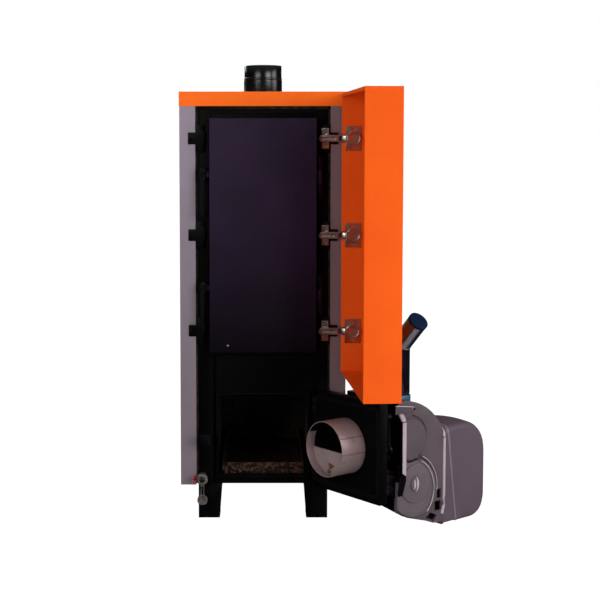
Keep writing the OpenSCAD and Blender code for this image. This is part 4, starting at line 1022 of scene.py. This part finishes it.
# sizes read from the photograph on the casting's free side: the bare strip, the dome and the fan's middle
castingLook = {
    "ribLow": 164.0, "ribHigh": 301.0, "ribStands": 13.0, "stripFrom": 69.5, "stripTo": 82.0,
    "dome": (104, 251, 60), "fan": (105, 115), "hubZ": 135, "paintLow": 140, "paintHigh": 319,
    "hingeSideTo": 241, "coverFrom": 57, "coverPaintTo": 68, "coverPaintZ": 146,
}
castingAways = [vertex.co - burnerPin for vertex in frame["nodes"]["burner_casting"].data.vertices]
castingLook["ribOut"] = max(away.dot(awayFromPin) for away in castingAways) / mm
castingLook["far"] = castingLook["ribOut"] - castingLook["ribStands"]
castingPiece = soften("burner_casting", "casting", 1.2, 3)


def shadeOnCasting(v, u, z, normal):
    # painted shade in black: the rib's outside, the flange's face and the part that stands behind the door
    low = castingLook["paintLow"]
    if v > castingLook["ribOut"] - 0.5 or u < 66.5 and normal.dot(outward) < -0.9 and z > low:
        return z > low
    return v < castingLook["hingeSideTo"] and u < 100 and z < low + 1


def shadeOnCover(v, u, z, normal):
    # painted shade in black: the cover's upper corner next to the door
    return z > castingLook["coverPaintZ"] and u < castingLook["coverPaintTo"]


def liftSole(piece):
    # the casting's bottom rises towards its hinge side
    for vertex in piece.data.vertices:
        v, z = (vertex.co - burnerPin).dot(awayFromPin) / mm, vertex.co.z / mm
        vertex.co.z += 0.2 * max(0.0, 200 - v) * min(1.0, max(0.0, (110 - z) / 50)) * mm
        if z < 30:
            vertex.co.z += 4 * mm


def cutCover(piece):
    # the cover ends behind the door
    mesh = bmesh.new()
    mesh.from_mesh(piece.data)
    parts = mesh.verts[:] + mesh.edges[:] + mesh.faces[:]
    place = onBurner(0, castingLook["coverFrom"], 0)
    cut = bmesh.ops.bisect_plane(mesh, geom=parts, plane_co=place, plane_no=outward, clear_inner=True)
    edges = [part for part in cut["geom_cut"] if isinstance(part, bmesh.types.BMEdge)]
    bmesh.ops.edgeloop_fill(mesh, edges=edges)
    mesh.to_mesh(piece.data)
    mesh.free()


def level(height):
    return (0, 0, height * mm), tuple(upward)


liftSole(castingPiece)
cutCover(coverPiece)
coverCuts = (level(castingLook["coverPaintZ"]), (onBurner(0, castingLook["coverPaintTo"], 0), outward))
# painted shade on the cover, in black
paintFaces(coverPiece, "blackPaint", shadeOnCover, coverCuts)
hingeSide = (onBurner(castingLook["hingeSideTo"], 66, 0), awayFromPin)
castingCuts = (level(castingLook["paintLow"]), level(castingLook["paintHigh"]), hingeSide)
# painted shade on the casting, in black
paintFaces(castingPiece, "blackPaint", shadeOnCasting, castingCuts)


def edgeStrip():
    # the flange's bare edge, bent back at its top
    low, high = castingLook["ribLow"], castingLook["ribHigh"]
    first, last = castingLook["stripFrom"], castingLook["stripTo"]
    path = ((0, low), (0, (low + high) / 2), (0, high - 4), (0.8, high + 1), (3, high + 5), (14.5, high + 20))
    rows = []
    for step, (back, z) in enumerate(path):
        foot = 5 if step == 0 else 0
        v = castingLook["ribOut"] + 0.3 - back
        row = [(v, first, z + foot), (v, last, z - foot)]
        row += [(v - 1.5, last, z - foot - 1), (v - 1.5, first, z + foot - 1)]
        rows.append([onBurner(*corner) for corner in row])
    mesh = bmesh.new()
    skin(mesh, rows, True)
    newPiece("burner_casting_edge", mesh, "burner_door", "machined", 35)


def tongue():
    # the bent black tongue below it: height, and where its two edges lie
    places = ((162, 66, 81), (158, 58, 79), (150, 57, 78), (140, 57, 77.5))
    places += ((130, 55.5, 74.5), (121, 53.5, 71.5), (114, 52.5, 69), (111, 55, 66))
    near = castingLook["ribOut"] + 0.2
    far = near + 2.2
    rows = []
    for z, first, last in places:
        row = ((near, first, z), (near, last, z), (far, last, z), (far, first, z))
        rows.append([onBurner(*corner) for corner in row])
    mesh = bmesh.new()
    skin(mesh, rows, True)
    piece = newPiece("burner_casting_tongue", mesh, "burner_door", "blackPaint", 35)
    rounding = piece.modifiers.new("rounded edges", "BEVEL")
    rounding.width = 0.7 * mm
    rounding.segments = 2


def arc(lift, middle, height, radius, first, last, steps):
    # part of a circle on the casting's free side, raised by lift
    points = []
    for step in range(steps + 1):
        turn = math.radians(first + (last - first) * step / steps)
        v = castingLook["far"] + lift
        points.append(onBurner(v, middle + radius * math.cos(turn), height + radius * math.sin(turn)))
    return points


def domeCreaseShade():
    # painted shade: a dark line in the crease round the dome
    domeU, domeZ, domeR = castingLook["dome"]
    mesh = bmesh.new()
    swept(mesh, arc(0.2, domeU, domeZ, domeR, -48, 80, 32), 1.7 * mm, 8)
    newPiece("burner_dome_crease_shade", mesh, "burner_door", "creaseShade", 60)


def hubHighlight(mesh, middle, radius, width):
    # a lit crescent on the hub
    rows = []
    for step in range(21):
        angle = -1 + step / 10
        turn = math.radians(54 * angle)
        inner = radius - width * max(0.02, math.cos(math.pi / 2 * angle))
        row = []
        for reach, lift in ((radius, 15.8), (radius, 17.2), (inner, 17.2), (inner, 15.8)):
            u, z = middle + reach * math.cos(turn), castingLook["hubZ"] + reach * math.sin(turn)
            row.append(onBurner(castingLook["far"] + lift, u, z))
        rows.append(row)
    skin(mesh, rows, True)


def coverHighlights():
    # painted highlights: pale raised lines round the scroll and the cover, two lit crescents on the hub and a line
    # along the lug's top edge
    fanU, fanZ = castingLook["fan"]
    mesh = bmesh.new()
    swept(mesh, arc(5.2, fanU, fanZ, 95.5, 63, -8, 28), 1.3 * mm, 8)
    swept(mesh, arc(11.2, fanU - 7, fanZ, 85.5, 62, -44, 28), 1.3 * mm, 8)
    hubHighlight(mesh, 97, 17, 6)
    hubHighlight(mesh, 99, 25, 6)
    edge = [onBurner(castingLook["far"] + 4, u, 342.5 - (u - 52) / 7) for u in (54, 75, 98, 120)]
    swept(mesh, edge, 1.3 * mm, 8)
    newPiece("burner_cover_highlights", mesh, "burner_door", "rimHighlight", 60)


def lugBoss():
    mesh = bmesh.new()
    profile = ((0, 8.2), (1.2, 8.0), (2.0, 6.8), (2.0, 4.6), (0.4, 4.0), (-3.0, 3.9))
    across, up = sides(awayFromPin)
    base = onBurner(castingLook["far"] + 4.4, 116, 327)
    rings = []
    for along, reach in profile:
        rings.append(ring(base + awayFromPin * (along * mm), across, up, reach * mm, 32))
    skin(mesh, rings)
    newPiece("burner_lug_rim", mesh, "burner_door", "cover", 35)


edgeStrip()
tongue()
domeCreaseShade()
coverHighlights()
lugBoss()


# Feed pipe

print("Feed pipe")
feed = {
    "v": 136.0, "u": 182.0, "low": 272.0, "bend": 472.0, "arm": 99.0, "lean": 44.0, "bendRadius": 40.0,
    "foot": 24.0, "radius": 26.5, "wall": 2.5, "capReach": 27.0, "capDepth": 7.0,
}


def pipePath():
    # straight up, wider above the collar, round the bend, then along the leaning arm
    lean = math.radians(feed["lean"])
    cut = feed["bendRadius"] * math.tan(lean / 2)
    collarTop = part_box("pipe_collar")[1].z / mm
    points = [(0.0, feed["low"], feed["foot"]), (0.0, collarTop + 1, feed["foot"])]
    points += [(0.0, z, feed["radius"]) for z in (collarTop + 5, feed["bend"] - cut - 30)]
    for step in range(9):
        turn = lean * step / 8
        reach = feed["bendRadius"] * (1 - math.cos(turn))
        points.append((reach, feed["bend"] - cut + feed["bendRadius"] * math.sin(turn), feed["radius"]))
    for far in (0.6, 1.0):
        reach = cut + (feed["arm"] - cut) * far
        points.append((reach * math.sin(lean), feed["bend"] + reach * math.cos(lean), feed["radius"]))
    return [(onBurner(feed["v"] + v, feed["u"], z), radius) for v, z, radius in points]


def feedPipe():
    path = pipePath()
    mesh = bmesh.new()
    rows = []
    for i, (point, radius) in enumerate(path):
        ahead = path[min(i + 1, len(path) - 1)][0]
        behind = path[max(i - 1, 0)][0]
        along = (ahead - behind).normalized()
        rows.append((point, along, radius))

    def around(row, radius):
        point, along, _ = row
        return ring(point, outward, outward.cross(along), radius * mm, 56)

    outer = [around(row, row[2]) for row in rows]
    inner = [around(row, row[2] - feed["wall"]) for row in rows[::-1]]
    skin(mesh, outer + inner + [outer[0]])
    merge(mesh)
    count = len(mesh.faces)
    tip, along, _ = rows[-1]
    skirt = -feed["capDepth"]
    profile = ((skirt, -0.6), (skirt + 1, 0), (1.0, 0), (1.8, -0.4), (2.2, -1.2), (2.2, -14), (2.2, -26))
    rings = []
    for depth, inset in profile:
        rings.append(around((tip + along * (depth * mm), along, 0), feed["capReach"] + inset))
    skin(mesh, rings, True)
    piece = newPiece("feed_pipe_bent", mesh, "burner_door", "pipePaint", 50)
    piece.data.materials.append(finishes["capBlue"])
    for face in piece.data.polygons:
        if face.index >= count:
            face.material_index = 1
    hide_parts("feed_pipe", "pipe_cap")


feedPipe()
soften("pipe_collar", "collarBlue", 1.6, 3)

makeFixings()


# Stage

print("Stage and light")


def makeFloor():
    mesh = bmesh.new()
    reach = studio["floorReach"]
    corners = ((-1, -1), (1, -1), (1, 1), (-1, 1))
    mesh.faces.new([mesh.verts.new((x * reach, y * reach, -0.2 * mm)) for x, y in corners])
    data = bpy.data.meshes.new("floor")
    mesh.to_mesh(data)
    mesh.free()
    floor = bpy.data.objects.new("floor", data)
    bpy.context.scene.collection.objects.link(floor)
    finish = Finish("white floor", roughness=0.9)
    finish.set("Base Color", (0.86, 0.86, 0.86, 1))
    seen = finish.add("ShaderNodeLightPath", {}, {}, "Is Camera Ray")
    mirrored = finish.add("ShaderNodeLightPath", {}, {}, "Is Glossy Ray")
    glow = finish.add("ShaderNodeEmission", {}, {"Color": (1, 1, 1, 1), "Strength": studio["floorWhite"]})
    dark = finish.add("ShaderNodeEmission", {}, {"Color": (1, 1, 1, 1), "Strength": studio["darkRoom"]})
    out = next(node for node in finish.tree.nodes if node.type == "OUTPUT_MATERIAL")
    shader = Wire(finish, finish.shader.outputs[0])
    both = finish.add("ShaderNodeMixShader", {}, {0: seen * studio["floorGlow"], 1: shader, 2: glow})
    finish.plug(out.inputs[0], finish.add("ShaderNodeMixShader", {}, {0: mirrored, 1: both, 2: dark}))
    data.materials.append(finish.material)


def makeWorld():
    # white to the camera, an even light on the object, a dark room with a soft ceiling in its reflections
    world = bpy.data.worlds.new("white room")
    world.use_nodes = True
    tree = world.node_tree

    def node(kind, settings, values, out=0):
        made = tree.nodes.new(kind)
        for name, value in settings.items():
            setattr(made, name, value)
        for name, value in values.items():
            if isinstance(value, bpy.types.NodeSocket):
                tree.links.new(value, made.inputs[name])
            else:
                made.inputs[name].default_value = value
        return made.outputs[out]

    seen = node("ShaderNodeLightPath", {}, {}, "Is Camera Ray")
    mirrored = node("ShaderNodeLightPath", {}, {}, "Is Glossy Ray")
    toward = node("ShaderNodeTexCoord", {}, {}, "Generated")
    height = node("ShaderNodeSeparateXYZ", {}, {0: toward}, "Z")
    values = {0: height, 1: 0.25, 2: 0.8, 3: studio["darkRoom"], 4: studio["ceiling"]}
    room = node("ShaderNodeMapRange", {}, values)
    light = node("ShaderNodeMix", {}, {0: mirrored, 2: studio["worldLight"], 3: room})
    strength = node("ShaderNodeMath", {"operation": "MAXIMUM"}, {0: light, 1: seen})
    tree.links.new(strength, tree.nodes["Background"].inputs["Strength"])
    tree.nodes["Background"].inputs["Color"].default_value = (1, 1, 1, 1)
    bpy.context.scene.world = world


makeFloor()
makeWorld()
makeCamera()
for lampName in ("left", "right", "side", "rear"):
    makeLamp(lampName, *studio[lampName])
bpy.context.scene.view_settings.view_transform = "Standard"
